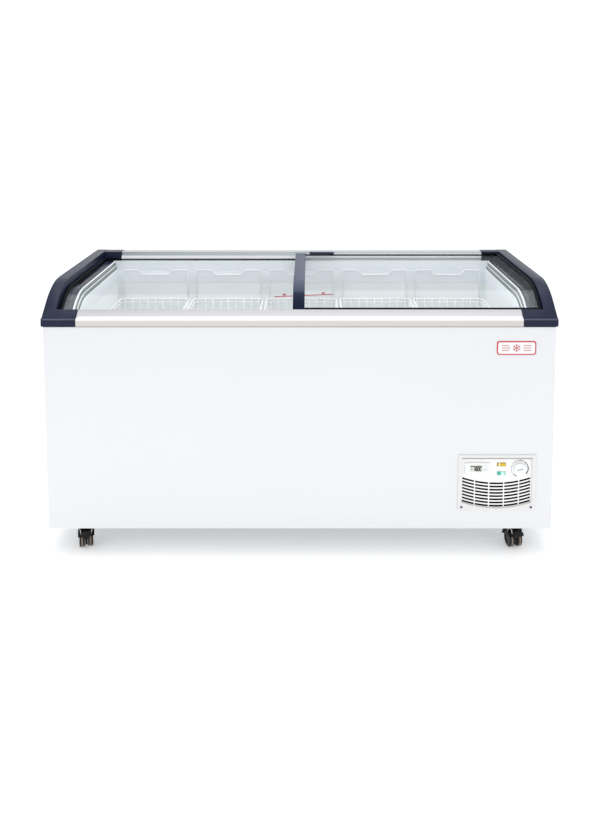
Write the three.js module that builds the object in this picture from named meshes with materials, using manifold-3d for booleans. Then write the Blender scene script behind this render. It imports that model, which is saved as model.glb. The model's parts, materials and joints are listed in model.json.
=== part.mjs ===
// Display chest freezer with two curved glass lids that slide over each other.
// Millimetres. X runs along the front, the customer stands at -Y, +Z is up, the floor is z = 0.

import * as THREE from 'three';
import { mergeVertices } from 'three/addons/utils/BufferGeometryUtils.js';
import Module from 'manifold-3d';

const wasm = await Module();
wasm.setup();

// ---------------------------------------------------------------- driving dimensions

const HALF_WIDTH = 840;          // outside of the plastic end caps
const FRONT_Y = -350;            // front lip of the caps and the front rail
const BACK_Y = 350;
const BASE = 86;                 // underside of the cabinet above the floor
const GAP = 0.3;                 // play between pieces that touch

const SHELL_HALF = 836;          // painted sheet-steel body
const SHELL_FRONT_Y = -347;
const SHELL_T = 1.5;
const SHELL_TOP = BASE + 683;
const BACK_PANEL_Y = 345;
const INSIDE_HALF = 832.5;       // what stands inside the shell keeps clear of its round corners
const INSIDE_FRONT_Y = -343.5;

const FRAME_BOTTOM = BASE + 685; // lower edge of caps and rails
const LIP_TOP = BASE + 706;      // top of the upright lip at the front
const CREST_Y = -315;            // back edge of the front rail's sloping face
const ARC_START_Y = -290;        // the rim is straight up to here, then an arc
const ARC_END_Y = -145;          // and from here nearly level
const RIM_RADIUS = 226;
const RIM_TOP = BASE + 807;
const RIM_RISE = 0.0115;         // rise of the level part per millimetre
const REAR_FACE_Y = 303;         // front face of the rear rail

const RIM_INNER_X = 801;         // the cap's raised rim is outside this
const GROOVE_INNER_X = 788;      // gasket groove between rim and ledge
const LEDGE_INNER_X = 762;
const LEDGE_DEPTH = 36;          // ledge below the rim surface
const GROOVE_DEPTH = 44;
const FRONT_BLOCK_X = 727.5;     // the caps' front blocks hold the front rail between them
const REAR_BLOCK_X = 729;
const CAP_WALL = 3;

const LINER_HALF = 742;          // inside of the storage space
const LINER_FRONT_Y = -272;
const LINER_BACK_Y = 277;
const LINER_FLOOR = BASE + 75;
const LINER_T = 2;
const FLANGE_Z = BASE + 688;
const STEP_X = 436;              // the floor steps up over the machine bay from here
const STEP_TOP = BASE + 317;
const COIL_GAP = 8;              // room for the evaporator tube round the liner

const BAY_X = 508;               // left wall of the machine bay
const BAY_TOP = BASE + 257;

const LID_END_X = 798;           // outer end of each lid
const STRIP_LEFT_X = -23;        // meeting strip on the upper lid
const STRIP_RIGHT_X = 16;
const LID_FRONT_S = 1.5;         // distances along the rim curve from the crest
const UPPER_LIPS = { front: 11, rear: 7 };   // width of each lid's rubber edges
const LOWER_LIPS = { front: 6, rear: 7.5 };
const LID_SIDE_LIP = 10;
const LID_T = 8;
const UPPER_LID_DEPTH = 7;       // top of each lid below the rim surface
const LOWER_LID_DEPTH = 25;
const GLASS_T = 4;

const BASKET_COUNT = 5;
const BASKET_PITCH = 294;
const BASKET_HALF = 142;
const BASKET_FRONT_Y = -263;
const BASKET_BACK_Y = 268;
const BASKET_FLOOR = BASE + 430;
const BASKET_RIM = BASE + 630;
const BASKET_WALL = 3;

const GRILLE_X = [523, 779];
const GRILLE_Z = [BASE + 65.5, BASE + 253.5];
const GRILLE_MID_X = 651;
const RECESS_X = [534, 767];
const RECESS_Z = [BASE + 71.2, BASE + 244.5]; // lowest point of its curved lower edge, and its top
const PLATE_Y = -341;            // front of the recessed plate that carries the controls
const PLATE_T = 2.5;
const LOUVRE_RADIUS = 350;
const LOUVRE_ROWS = 8;
const LOUVRE_PITCH = 11;
const LOUVRE_TOP = BASE + 152.4;
const LOUVRE_SLOT = 6.2;
const LOUVRE_COLUMNS = [[538, 577.4], [581, 624.6], [628.6, 674], [677.8, 723.6], [727.2, 763.4]];
const KNOB = { x: 727.7, z: BASE + 203.8, radius: 21.5 };
const SWITCH_X = [653.5, 680.5];
const SWITCH_Z = [BASE + 212.3, BASE + 223.3];
const LAMP_Z = [BASE + 182.3, BASE + 193.3];
const DISPLAY_X = [546, 632];
const DISPLAY_Z = [BASE + 186, BASE + 225];
const WINDOW_X = [562, 604];
const WINDOW_Z = [BASE + 196.5, BASE + 217];
const BUTTON_X = 615.5;
const BUTTON_Z = [BASE + 216, BASE + 200];
const SCREWS = [[534.5, BASE + 75.4], [765, BASE + 75.4]];

const CASTER_Y = 279;
const WHEEL_RADIUS = 27;
const WHEEL_TRAIL = 20;
const WHEEL_X = [5, 22.5];
const HOOD_RADIUS = 32;

const FAN = { x: 660, y: -215, z: BASE + 112, radius: 78 };

// ---------------------------------------------------------------- colours

const look = (color, roughness, metalness = 0, more = {}) =>
  new THREE.MeshStandardMaterial({ color, roughness, metalness, ...more });

const paint = {
  white: look(0xf3f4f8, 0.35),
  liner: look(0xe4e9ea, 0.45),
  slate: look(0x3a4157, 0.45),
  rail: look(0xe6e3e6, 0.35),
  rearRail: look(0xc3c8ca, 0.4, 0.3),
  rubber: look(0x17181d, 0.7),
  foam: look(0xe9dfae, 0.9),
  galvanised: look(0xb4b8bb, 0.4, 0.8),
  copper: look(0xb4653a, 0.35, 0.9),
  blackSteel: look(0x1b1c1f, 0.5, 0.2),
  blackPlastic: look(0x141518, 0.45),
  tyre: look(0x1d1a19, 0.55),
  wire: look(0xf4f6f6, 0.35),
  glass: look(0xdfeeea, 0.05, 0, { transparent: true, opacity: 0.25 }),
  red: look(0xc42836, 0.5),
  yellow: look(0xd9b41f, 0.3),
  green: look(0x35b79d, 0.3),
  lcd: look(0xc9cfc0, 0.2),
  screw: look(0x3c4c77, 0.35, 0.5),
};

// ---------------------------------------------------------------- solids

function toSolid(geometry) {
  const bare = geometry.clone();
  bare.deleteAttribute('normal');
  bare.deleteAttribute('uv');
  const merged = mergeVertices(bare, 1e-4);
  return new wasm.Manifold(new wasm.Mesh({
    numProp: 3,
    vertProperties: new Float32Array(merged.attributes.position.array),
    triVerts: new Uint32Array(merged.index.array),
  }));
}

function toGeometry(solid) {
  const mesh = solid.getMesh();
  const geometry = new THREE.BufferGeometry();
  geometry.setAttribute('position', new THREE.BufferAttribute(mesh.vertProperties, 3));
  geometry.setIndex(new THREE.BufferAttribute(mesh.triVerts, 1));
  geometry.computeVertexNormals();
  return geometry;
}

const join = (first, ...rest) => rest.reduce((sum, solid) => sum.add(solid), first);
const cut = (first, ...rest) => rest.reduce((left, solid) => left.subtract(solid), first);

function box([x0, x1], [y0, y1], [z0, z1]) {
  const geometry = new THREE.BoxGeometry(x1 - x0, y1 - y0, z1 - z0);
  geometry.translate((x0 + x1) / 2, (y0 + y1) / 2, (z0 + z1) / 2);
  return toSolid(geometry);
}

function extrude(points, depth, basis, offset) {
  const shape = new THREE.Shape(points.map(([a, b]) => new THREE.Vector2(a, b)));
  const geometry = new THREE.ExtrudeGeometry(shape, { depth, bevelEnabled: false });
  geometry.applyMatrix4(new THREE.Matrix4().makeBasis(...basis));
  geometry.translate(...offset);
  return toSolid(geometry);
}

const AXIS = {
  x: new THREE.Vector3(1, 0, 0),
  y: new THREE.Vector3(0, 1, 0),
  z: new THREE.Vector3(0, 0, 1),
};

// an outline in Y and Z, extruded along X
const prismX = (points, [x0, x1]) => extrude(points, x1 - x0, [AXIS.y, AXIS.z, AXIS.x], [x0, 0, 0]);

// an outline in X and Z, extruded along Y
const prismY = (points, [y0, y1]) =>
  extrude(points, y1 - y0, [AXIS.x, AXIS.z, AXIS.y.clone().negate()], [0, y1, 0]);

// an outline in X and Y, extruded along Z
const prismZ = (points, [z0, z1]) => extrude(points, z1 - z0, [AXIS.x, AXIS.y, AXIS.z], [0, 0, z0]);

function rod(axis, [x, y, z], radius, length, sides = 20) {
  const geometry = new THREE.CylinderGeometry(radius, radius, length, sides);
  if (axis === 'x') geometry.rotateZ(-Math.PI / 2);
  if (axis === 'z') geometry.rotateX(Math.PI / 2);
  geometry.translate(x, y, z);
  return toSolid(geometry);
}

function tube(points, radius, sides, steps) {
  const path = new THREE.CatmullRomCurve3(points.map((p) => new THREE.Vector3(...p)), false, 'centripetal');
  const section = new THREE.Shape();
  for (let i = 0; i < sides; i += 1) {
    const angle = (i / sides) * 2 * Math.PI;
    const method = i === 0 ? 'moveTo' : 'lineTo';
    section[method](radius * Math.cos(angle), radius * Math.sin(angle));
  }
  return toSolid(new THREE.ExtrudeGeometry(section, { steps, bevelEnabled: false, extrudePath: path }));
}

const mirrored = (side, near, far) => (side > 0 ? [near, far] : [-far, -near]);

function roundedRectangle([x0, x1], [z0, z1], radius, steps = 3) {
  const corners = [[x1, z1, 0], [x0, z1, 1], [x0, z0, 2], [x1, z0, 3]];
  const points = [];
  for (const [x, z, quarter] of corners) {
    const cx = x === x1 ? x1 - radius : x0 + radius;
    const cz = z === z1 ? z1 - radius : z0 + radius;
    for (let i = 0; i <= steps; i += 1) {
      const angle = (quarter + i / steps) * Math.PI / 2;
      points.push([cx + radius * Math.cos(angle), cz + radius * Math.sin(angle)]);
    }
  }
  return points;
}

// ---------------------------------------------------------------- the curved rim
// The rim is followed by s, the distance along it from the crest of the front rail,
// and d, the depth below its outer surface.

const SLOPE = Math.asin((ARC_END_Y - ARC_START_Y) / RIM_RADIUS);
const ARC_CENTRE_Z = RIM_TOP - RIM_RADIUS;
const LINE_LENGTH = (ARC_START_Y - CREST_Y) / Math.cos(SLOPE);
const ARC_LENGTH = RIM_RADIUS * SLOPE;
const ARC_START_Z = ARC_CENTRE_Z + RIM_RADIUS * Math.cos(SLOPE);
const CREST_Z = ARC_START_Z - LINE_LENGTH * Math.sin(SLOPE);

function rimPoint(s, d) {
  if (s <= LINE_LENGTH) {
    return [
      CREST_Y + s * Math.cos(SLOPE) + d * Math.sin(SLOPE),
      CREST_Z + s * Math.sin(SLOPE) - d * Math.cos(SLOPE),
    ];
  }
  if (s <= LINE_LENGTH + ARC_LENGTH) {
    const angle = SLOPE - (s - LINE_LENGTH) / RIM_RADIUS;
    const radius = RIM_RADIUS - d;
    return [ARC_END_Y - radius * Math.sin(angle), ARC_CENTRE_Z + radius * Math.cos(angle)];
  }
  const run = s - LINE_LENGTH - ARC_LENGTH;
  return [ARC_END_Y + run, RIM_TOP + run * RIM_RISE - d];
}

const distanceTo = (y) => LINE_LENGTH + ARC_LENGTH + y - ARC_END_Y;

function stations(s0, s1) {
  const steps = 9;
  const inside = [];
  for (let i = 0; i <= steps; i += 1) inside.push(LINE_LENGTH + (i / steps) * ARC_LENGTH);
  return [s0, ...inside.filter((s) => s > s0 + 0.5 && s < s1 - 0.5), s1];
}

const curve = (s0, s1, d) => stations(s0, s1).map((s) => rimPoint(s, d));

const band = (s0, s1, d0, d1, span) =>
  prismX([...curve(s0, s1, d0), ...curve(s0, s1, d1).reverse()], span);

// everything under the rim between two distances, down to a level
function underRim(s0, s1, d, bottom, span) {
  const top = curve(s0, s1, d);
  return prismX([[top[0][0], bottom], ...top, [top.at(-1)[0], bottom]], span);
}

// the upright lip and the sloping face behind it, with the rear face square to the slope
function lipOutline(inset, backS, backDepth, bottom) {
  return [
    [FRONT_Y + inset, bottom],
    [FRONT_Y + inset, LIP_TOP - inset / 3],
    [FRONT_Y + inset + 0.8, LIP_TOP + 3.6 - inset / 3],
    [FRONT_Y + inset + 2.4, LIP_TOP + 6 - inset / 3],
    rimPoint(-40, inset),
    rimPoint(backS, inset),
    rimPoint(backS, backDepth),
    [rimPoint(backS, backDepth)[0], bottom],
  ];
}

// ---------------------------------------------------------------- cabinet

function outerShell() {
  const wrap = (half, front, radius) => {
    const points = [[half, BACK_PANEL_Y - GAP]];
    for (const side of [1, -1]) {
      for (let i = 0; i <= 3; i += 1) {
        const angle = (side > 0 ? i : 3 - i) / 3 * Math.PI / 2;
        points.push([side * (half - radius + radius * Math.cos(angle)), front + radius - radius * Math.sin(angle)]);
      }
    }
    points.push([-half, BACK_PANEL_Y - GAP]);
    return points;
  };
  const outside = wrap(SHELL_HALF, SHELL_FRONT_Y, 5);
  const inside = wrap(SHELL_HALF - SHELL_T, SHELL_FRONT_Y + SHELL_T, 3.5).reverse();
  const opening = box([529, 773], [SHELL_FRONT_Y - 1, SHELL_FRONT_Y + 3], [BASE + 67.3, BASE + 249]);
  return cut(prismZ([...outside, ...inside], [BASE, SHELL_TOP]), opening);
}

function backPanel() {
  const sheet = box([-SHELL_HALF, SHELL_HALF], [BACK_PANEL_Y, BACK_PANEL_Y + SHELL_T], [BASE, SHELL_TOP]);
  const vents = [];
  for (let i = 0; i < 9; i += 1) {
    const z = BASE + 45 + i * 18;
    vents.push(box([560, 790], [BACK_PANEL_Y - 1, BACK_PANEL_Y + 3], [z, z + 8]));
  }
  const inlet = rod('y', [534, BACK_PANEL_Y, BASE + 30], 8, 10, 16);
  return cut(sheet, ...vents, inlet);
}

function basePlate() {
  return box([-INSIDE_HALF, INSIDE_HALF], [INSIDE_FRONT_Y, BACK_PANEL_Y - GAP], [BASE, BASE + SHELL_T]);
}

// the liner's outline in X and Z, stepped up over the machine bay and grown by a margin
const linerOutline = (grow, top) => [
  [-LINER_HALF - grow, LINER_FLOOR - grow],
  [STEP_X + grow, LINER_FLOOR - grow],
  [STEP_X + grow, STEP_TOP - grow],
  [LINER_HALF + grow, STEP_TOP - grow],
  [LINER_HALF + grow, top],
  [-LINER_HALF - grow, top],
];

function foamInsulation() {
  const deep = [INSIDE_FRONT_Y, BACK_PANEL_Y - GAP];
  const block = box([-INSIDE_HALF, INSIDE_HALF], deep, [BASE + SHELL_T + GAP, SHELL_TOP - GAP]);
  const collar = box([-759, 759], [-290, 290], [SHELL_TOP - 10, FLANGE_Z - GAP]);
  const grow = LINER_T + COIL_GAP;
  const pocket = prismY(linerOutline(grow, BASE + 900), [LINER_FRONT_Y - grow, LINER_BACK_Y + grow]);
  const bay = box([BAY_X, 900], [-400, 400], [BASE - 10, BAY_TOP]);
  const drain = rod('z', [-500, 0, BASE + 40], 14, 100, 16);
  return cut(join(block, collar), pocket, bay, drain);
}

function innerLiner() {
  const y = [LINER_FRONT_Y, LINER_BACK_Y];
  const tub = prismY(linerOutline(LINER_T, FLANGE_Z + LINER_T), [y[0] - LINER_T, y[1] + LINER_T]);
  const flange = box([-759, 759], [-290, 290], [FLANGE_Z, FLANGE_Z + LINER_T]);
  const room = prismY(linerOutline(0, BASE + 900), y);
  const drain = rod('z', [-500, 0, LINER_FLOOR], 12, 20, 16);
  return cut(join(tub, flange), room, drain);
}

// plastic frame on the liner's flange; its front and rear walls carry the baskets' hooks
function breakerFrame() {
  const bottom = FLANGE_Z + LINER_T + GAP;
  const across = [-759, 759];
  const steps = [[753, 759, 2], [747.5, 753, 16], [LINER_HALF, 747.5, 30]];
  const sides = [1, -1].flatMap((side) => steps.map(([inner, outer, drop]) => {
    const block = box(mirrored(side, inner, outer), [-289, 291.5], [bottom, BASE + 850]);
    return block.intersect(underRim(-30, distanceTo(300), LEDGE_DEPTH + drop, BASE, [-800, 800]));
  }));
  return join(
    ...sides,
    box(across, [LINER_BACK_Y, LINER_BACK_Y + 3.5], [bottom, BASE + 740]),
    box(across, [LINER_BACK_Y, 291.5], [bottom, bottom + 4]),
    box(across, [288, 291.5], [bottom, BASE + 777]),
    box(across, [LINER_FRONT_Y - 3.5, LINER_FRONT_Y], [bottom, BASE + 701]),
    box(across, [-289, LINER_FRONT_Y], [bottom, bottom + 3]),
  );
}

function drainPlug() {
  return join(
    rod('z', [-500, 0, LINER_FLOOR + 3.3], 17, 6, 20),
    rod('z', [-500, 0, LINER_FLOOR - 20], 11, 45, 16),
  );
}

function loadLineLabel() {
  const rise = 0.042;
  const lineZ = (x) => BASE + 635 + rise * x;
  const y = [LINER_BACK_Y - 0.8, LINER_BACK_Y - GAP];
  const strip = prismY([[-111, lineZ(-111)], [128, lineZ(128)], [128, lineZ(128) + 4], [-111, lineZ(-111) + 4]], y);
  const arrow = (x) => prismY([[x - 8, lineZ(x) + 12], [x + 8, lineZ(x) + 12], [x, lineZ(x) + 1]], y);
  return join(strip, arrow(-70), arrow(88));
}

function badgePlate() {
  const outline = roundedRectangle([642, 770], [BASE + 591, BASE + 637], 8, 4);
  return prismY(outline, [SHELL_FRONT_Y - 1.8, SHELL_FRONT_Y - GAP]);
}

// ---------------------------------------------------------------- top frame

function endCap(side) {
  const rear = distanceTo(BACK_Y);
  const low = FRAME_BOTTOM - 5;
  const rim = (x, inset, top, end, bottom) =>
    prismX([...lipOutline(inset, -20, top, bottom).slice(0, 4), ...curve(-40, end, top), [BACK_Y - inset, bottom]], x);
  const out = join(
    rim(mirrored(side, RIM_INNER_X, HALF_WIDTH), 0, 0, rear, FRAME_BOTTOM),
    underRim(10, rear, LEDGE_DEPTH, FRAME_BOTTOM, mirrored(side, LEDGE_INNER_X, RIM_INNER_X + 1)),
    prismX(lipOutline(0, 0, LEDGE_DEPTH, FRAME_BOTTOM), mirrored(side, FRONT_BLOCK_X, RIM_INNER_X + 1)),
    underRim(distanceTo(REAR_FACE_Y), rear, 0.8, FRAME_BOTTOM, mirrored(side, REAR_BLOCK_X, RIM_INNER_X + 1)),
  );
  const groove = band(0, distanceTo(REAR_FACE_Y), -5, GROOVE_DEPTH, mirrored(side, GROOVE_INNER_X, RIM_INNER_X));
  const w = CAP_WALL;
  const hollow = [
    rim(mirrored(side, RIM_INNER_X + w, HALF_WIDTH - w), w, w, rear - w, low),
    underRim(20, rear - w, LEDGE_DEPTH + w, low, mirrored(side, LEDGE_INNER_X + w, GROOVE_INNER_X - w)),
    underRim(20, rear - w, GROOVE_DEPTH + w, low, mirrored(side, GROOVE_INNER_X - w - 1, RIM_INNER_X + w + 1)),
    prismX(lipOutline(w, -w, LEDGE_DEPTH - 1, low), mirrored(side, FRONT_BLOCK_X + w, GROOVE_INNER_X - w)),
    underRim(distanceTo(REAR_FACE_Y + w), rear - w, w + 1, low, mirrored(side, REAR_BLOCK_X + w, GROOVE_INNER_X - w)),
  ];
  return cut(out, groove, ...hollow);
}

function endGasket(side) {
  return band(2, distanceTo(REAR_FACE_Y - 2), LEDGE_DEPTH + 1, GROOVE_DEPTH - GAP,
    mirrored(side, GROOVE_INNER_X + 1, RIM_INNER_X - 1));
}

function frontRail() {
  const wall = 2.5;
  const rib = (d) => [rimPoint(0, d), rimPoint(9, d), rimPoint(9, d + 2.6), rimPoint(0, d + 2.6)];
  const upper = UPPER_LID_DEPTH + LID_T + 0.4;
  const lower = LOWER_LID_DEPTH + LID_T + 0.4;
  const outside = [
    [FRONT_Y, FRAME_BOTTOM],
    [FRONT_Y, LIP_TOP],
    [FRONT_Y + 0.8, LIP_TOP + 3.6],
    [FRONT_Y + 2.4, LIP_TOP + 6],
    rimPoint(-40, 0),
    rimPoint(0, 0),
    ...rib(upper),
    ...rib(lower),
  ];
  const inside = [
    rimPoint(-wall, lower + 2.6),
    rimPoint(-wall, wall),
    rimPoint(-36, wall),
    [FRONT_Y + wall, LIP_TOP],
    [FRONT_Y + wall, FRAME_BOTTOM],
  ];
  return prismX([...outside, ...inside], [-FRONT_BLOCK_X + GAP, FRONT_BLOCK_X - GAP]);
}

function rearRail() {
  const wall = 2.5;
  const face = REAR_FACE_Y;
  const top = rimPoint(distanceTo(face), 0)[1];
  const rib = (d, thick) => [[face, top - d], [face - 6, top - d], [face - 6, top - d - thick], [face, top - d - thick]];
  const upper = UPPER_LID_DEPTH + LID_T + 0.4;
  const lower = LOWER_LID_DEPTH + LID_T + 0.4;
  const outline = [
    [BACK_Y, FRAME_BOTTOM],
    [BACK_Y, top],
    [327, top],
    [327, top - 1.2],
    [324, top - 1.2],
    [324, top],
    [face, top],
    ...rib(upper, LOWER_LID_DEPTH - upper - 1.2),
    ...rib(lower, 2.6),
    [face + wall, top - lower - 2.6],
    [face + wall, top - wall - 1.2],
    [BACK_Y - wall, top - wall - 1.2],
    [BACK_Y - wall, FRAME_BOTTOM],
  ];
  return prismX(outline, [-REAR_BLOCK_X + GAP, REAR_BLOCK_X - GAP]);
}

// ---------------------------------------------------------------- lids

const LID_REAR_S = distanceTo(REAR_FACE_Y - 1.5);

// glass with its edges let into the frame
function lidGlass(depth, [x0, x1]) {
  const top = depth + (LID_T - GLASS_T) / 2;
  return band(LID_FRONT_S + 2.8, LID_REAR_S - 2.1, top, top + GLASS_T, [x0, x1]);
}

function glassSlot(depth, [x0, x1]) {
  const top = depth + (LID_T - GLASS_T) / 2 - 0.3;
  return band(LID_FRONT_S + 2.5, LID_REAR_S - 1.8, top, top + GLASS_T + 0.6, [x0, x1]);
}

function lidOpening(depth, lips, span) {
  return band(LID_FRONT_S + lips.front, LID_REAR_S - lips.rear, depth - 2, depth + LID_T + 2, span);
}

function lowerLidFrame() {
  const x = [-LID_END_X, STRIP_RIGHT_X];
  return cut(
    band(LID_FRONT_S, LID_REAR_S, LOWER_LID_DEPTH, LOWER_LID_DEPTH + LID_T, x),
    lidOpening(LOWER_LID_DEPTH, LOWER_LIPS, [x[0] + LID_SIDE_LIP, x[1] - LID_SIDE_LIP]),
    glassSlot(LOWER_LID_DEPTH, [x[0] + 3, x[1] - 3]),
  );
}

// front, right and rear edges of the upper lid; its left edge is the meeting strip
function upperLidFrame() {
  return cut(
    band(LID_FRONT_S, LID_REAR_S, UPPER_LID_DEPTH, UPPER_LID_DEPTH + LID_T, [STRIP_RIGHT_X + GAP, LID_END_X]),
    lidOpening(UPPER_LID_DEPTH, UPPER_LIPS, [0, LID_END_X - LID_SIDE_LIP]),
    glassSlot(UPPER_LID_DEPTH, [0, LID_END_X - 3]),
  );
}

function meetingStrip() {
  const lip = UPPER_LID_DEPTH + LID_T;
  return cut(
    join(
      band(LID_FRONT_S, LID_REAR_S, UPPER_LID_DEPTH, lip, [STRIP_LEFT_X, STRIP_RIGHT_X]),
      band(LID_FRONT_S + 12, LID_REAR_S - 12, lip - 1, LOWER_LID_DEPTH - 1.5, [STRIP_LEFT_X, STRIP_LEFT_X + 3]),
    ),
    glassSlot(UPPER_LID_DEPTH, [5, 40]),
  );
}

function lidGrip() {
  const bottom = rimPoint(LID_REAR_S - 10, UPPER_LID_DEPTH)[1] + GAP;
  const outline = [[277, bottom + 2], [280, bottom], [301, bottom], [301, bottom + 7.5], [286, bottom + 8], [279, bottom + 6]];
  return prismX(outline, [32, 130]);
}

// ---------------------------------------------------------------- storage baskets

function basket() {
  const x = [-BASKET_HALF, BASKET_HALF];
  const y = [BASKET_FRONT_Y, BASKET_BACK_Y];
  const w = BASKET_WALL;
  const tub = cut(
    box(x, y, [BASKET_FLOOR, BASKET_RIM]),
    box([x[0] + w, x[1] - w], [y[0] + w, y[1] - w], [BASKET_FLOOR + w, BASKET_RIM + 5]),
  );
  const hanger = (wall, out, hook, top) => {
    const uprights = [-132, 127].map((left) =>
      box([left, left + 5], [Math.min(wall, wall + out * 5), Math.max(wall, wall + out * 5)], [BASKET_RIM - 40, top]));
    const bar = box([-132, 132], [Math.min(wall, hook), Math.max(wall, hook)], [top - 5, top]);
    const turned = box([-132, 132], [Math.min(hook - out * 3, hook), Math.max(hook - out * 3, hook)], [top - 12, top]);
    return [...uprights, bar, turned];
  };
  return join(tub, ...hanger(y[1], 1, 286, BASE + 745.5), ...hanger(y[0], -1, -281, BASE + 706.5));
}

// ---------------------------------------------------------------- control panel and grille

const sag = (x) => LOUVRE_RADIUS - Math.sqrt(LOUVRE_RADIUS ** 2 - (x - GRILLE_MID_X) ** 2);

function recessOutline(grow) {
  const left = RECESS_X[0] - grow;
  const right = RECESS_X[1] + grow;
  const points = [[right, RECESS_Z[1] + grow], [left, RECESS_Z[1] + grow]];
  for (let i = 0; i <= 8; i += 1) {
    const x = left + (i / 8) * (right - left);
    points.push([x, RECESS_Z[0] - grow + sag(x)]);
  }
  return points;
}

function grillePanel() {
  const face = prismY(roundedRectangle(GRILLE_X, GRILLE_Z, 4), [FRONT_Y, SHELL_FRONT_Y - GAP]);
  const tub = prismY(recessOutline(2.5), [SHELL_FRONT_Y - 1, PLATE_Y + PLATE_T]);
  const recess = prismY(recessOutline(0), [FRONT_Y - 1, PLATE_Y]);
  const slots = [];
  for (let row = 0; row < LOUVRE_ROWS; row += 1) {
    for (const [x0, x1] of LOUVRE_COLUMNS) {
      const xs = [x0, (x0 + x1) / 2, x1];
      const lower = xs.map((x) => [x, LOUVRE_TOP - row * LOUVRE_PITCH - LOUVRE_SLOT / 2 + sag(x)]);
      const upper = xs.map((x) => [x, LOUVRE_TOP - row * LOUVRE_PITCH + LOUVRE_SLOT / 2 + sag(x)]).reverse();
      slots.push(prismY([...lower, ...upper], [PLATE_Y - 1, PLATE_Y + PLATE_T + 1]));
    }
  }
  const through = [PLATE_Y - 1, PLATE_Y + PLATE_T + 1];
  const holes = [
    box([SWITCH_X[0] - 1, SWITCH_X[1] + 1], through, [SWITCH_Z[0] - 1, SWITCH_Z[1] + 1]),
    box([SWITCH_X[0] - GAP, SWITCH_X[1] + GAP], through, [LAMP_Z[0] - GAP, LAMP_Z[1] + GAP]),
    rod('y', [KNOB.x, PLATE_Y, KNOB.z], 4.5, 10, 12),
    ...SCREWS.map(([x, z]) => rod('y', [x, FRONT_Y, z], 2.3, 10, 10)),
  ];
  return cut(join(face, tub), recess, ...slots, ...holes);
}

function grilleScrew([x, z]) {
  return join(
    rod('y', [x, FRONT_Y - 1.3, z], 3.6, 2, 14),
    rod('y', [x, FRONT_Y + 1.1, z], 1.9, 4, 10),
  );
}

function displayCase() {
  const front = PLATE_Y - 5;
  const body = prismY(roundedRectangle(DISPLAY_X, DISPLAY_Z, 3), [front, PLATE_Y - GAP]);
  const window = box([WINDOW_X[0] - GAP, WINDOW_X[1] + GAP], [front - 1, front + 2.4], [WINDOW_Z[0] - GAP, WINDOW_Z[1] + GAP]);
  const keys = BUTTON_Z.map((z) =>
    box([BUTTON_X - 3.6, BUTTON_X + 3.6], [front - 1, front + 3.2], [z - 2.3, z + 2.3]));
  return cut(body, window, ...keys);
}

const displayWindow = () => box(WINDOW_X, [PLATE_Y - 4.6, PLATE_Y - 2.9], WINDOW_Z);

const displayButton = (z) =>
  box([BUTTON_X - 3.2, BUTTON_X + 3.2], [PLATE_Y - 5.8, PLATE_Y - 3], [z - 1.9, z + 1.9]);

// rocker tilted on its pivot, so that one half stands proud
function rockerSwitch() {
  const y = PLATE_Y;
  const [x0, x1] = SWITCH_X;
  const mid = (x0 + x1) / 2;
  const outline = [
    [x0 + 0.6, y - 2.6], [mid, y - 2.2], [x1 - 0.6, y - 4.6],
    [x1 - 1.4, y + 2.6], [mid, y + 4.5], [x0 + 1.8, y + 4.2],
  ];
  return prismZ(outline, [SWITCH_Z[0] + 0.3, SWITCH_Z[1] - 0.3]);
}

const powerLamp = () => box(SWITCH_X, [PLATE_Y - 3, PLATE_Y + 8], LAMP_Z);

function thermostatKnob() {
  const disc = rod('y', [KNOB.x, PLATE_Y - 4.9, KNOB.z], KNOB.radius, 9, 36);
  const bore = rod('y', [KNOB.x, PLATE_Y, KNOB.z], 3.4, 11, 12);
  const pointer = box([KNOB.x - 10, KNOB.x + 10], [PLATE_Y - 11, PLATE_Y - 9], [KNOB.z - 1.3, KNOB.z + 1.3]);
  return join(cut(disc, bore), pointer);
}

function thermostatBody() {
  return join(
    box([KNOB.x - 19, KNOB.x + 19], [PLATE_Y + PLATE_T + 1, PLATE_Y + 32], [KNOB.z - 19, KNOB.z + 19]),
    rod('y', [KNOB.x, PLATE_Y + 0.8, KNOB.z], 3, 9.4, 12),
  );
}

// ---------------------------------------------------------------- refrigeration

function bayLining() {
  const x = BAY_X + 1;
  const z = BAY_TOP - 1;
  const far = INSIDE_HALF;
  const floor = BASE + SHELL_T + GAP;
  const outline = [[x, floor], [x + 1.2, floor], [x + 1.2, z - 1.2], [far, z - 1.2], [far, z], [x, z]];
  return prismY(outline, [INSIDE_FRONT_Y, BACK_PANEL_Y - 1]);
}

function compressorTray() {
  const z = BASE + SHELL_T + GAP;
  const pan = box([545, 815], [110, 330], [z, z + 2]);
  const rails = [[548, 560], [800, 812]].map((x) => box(x, [110, 330], [z + 1, z + 9]));
  return join(pan, ...rails);
}

function compressor() {
  const z = BASE + 13;
  const profile = [[0, 0], [66, 0], [84, 14], [86, 60], [84, 112], [74, 144], [48, 164], [0, 170]];
  const shell = new THREE.LatheGeometry(profile.map(([r, h]) => new THREE.Vector2(r, h)), 22);
  shell.rotateX(Math.PI / 2);
  shell.translate(680, 220, z);
  const foot = box([590, 770], [190, 250], [z - 1, z + 3]);
  const pads = [600, 760].map((x) => rod('z', [x, 220, z - 4.45], 11, 8.9, 12));
  const relayBox = box([745, 795], [192, 248], [z + 40, z + 100]);
  return join(toSolid(shell), foot, ...pads, relayBox);
}

// tube and fin condenser: a comb of fins with end plates
function condenser() {
  const fins = 22;
  const x0 = 532;
  const pitch = 11.6;
  const points = [[x0, -300]];
  for (let i = 0; i < fins; i += 1) {
    const x = x0 + i * pitch;
    points.push([x + 1.6, -300], [x + 1.6, -290], [x + pitch, -290], [x + pitch, -300]);
  }
  const end = x0 + fins * pitch;
  points.push([end + 1.6, -300], [end + 1.6, -252], [x0, -252]);
  return prismZ(points, [BASE + 8, BASE + 150]);
}

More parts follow.
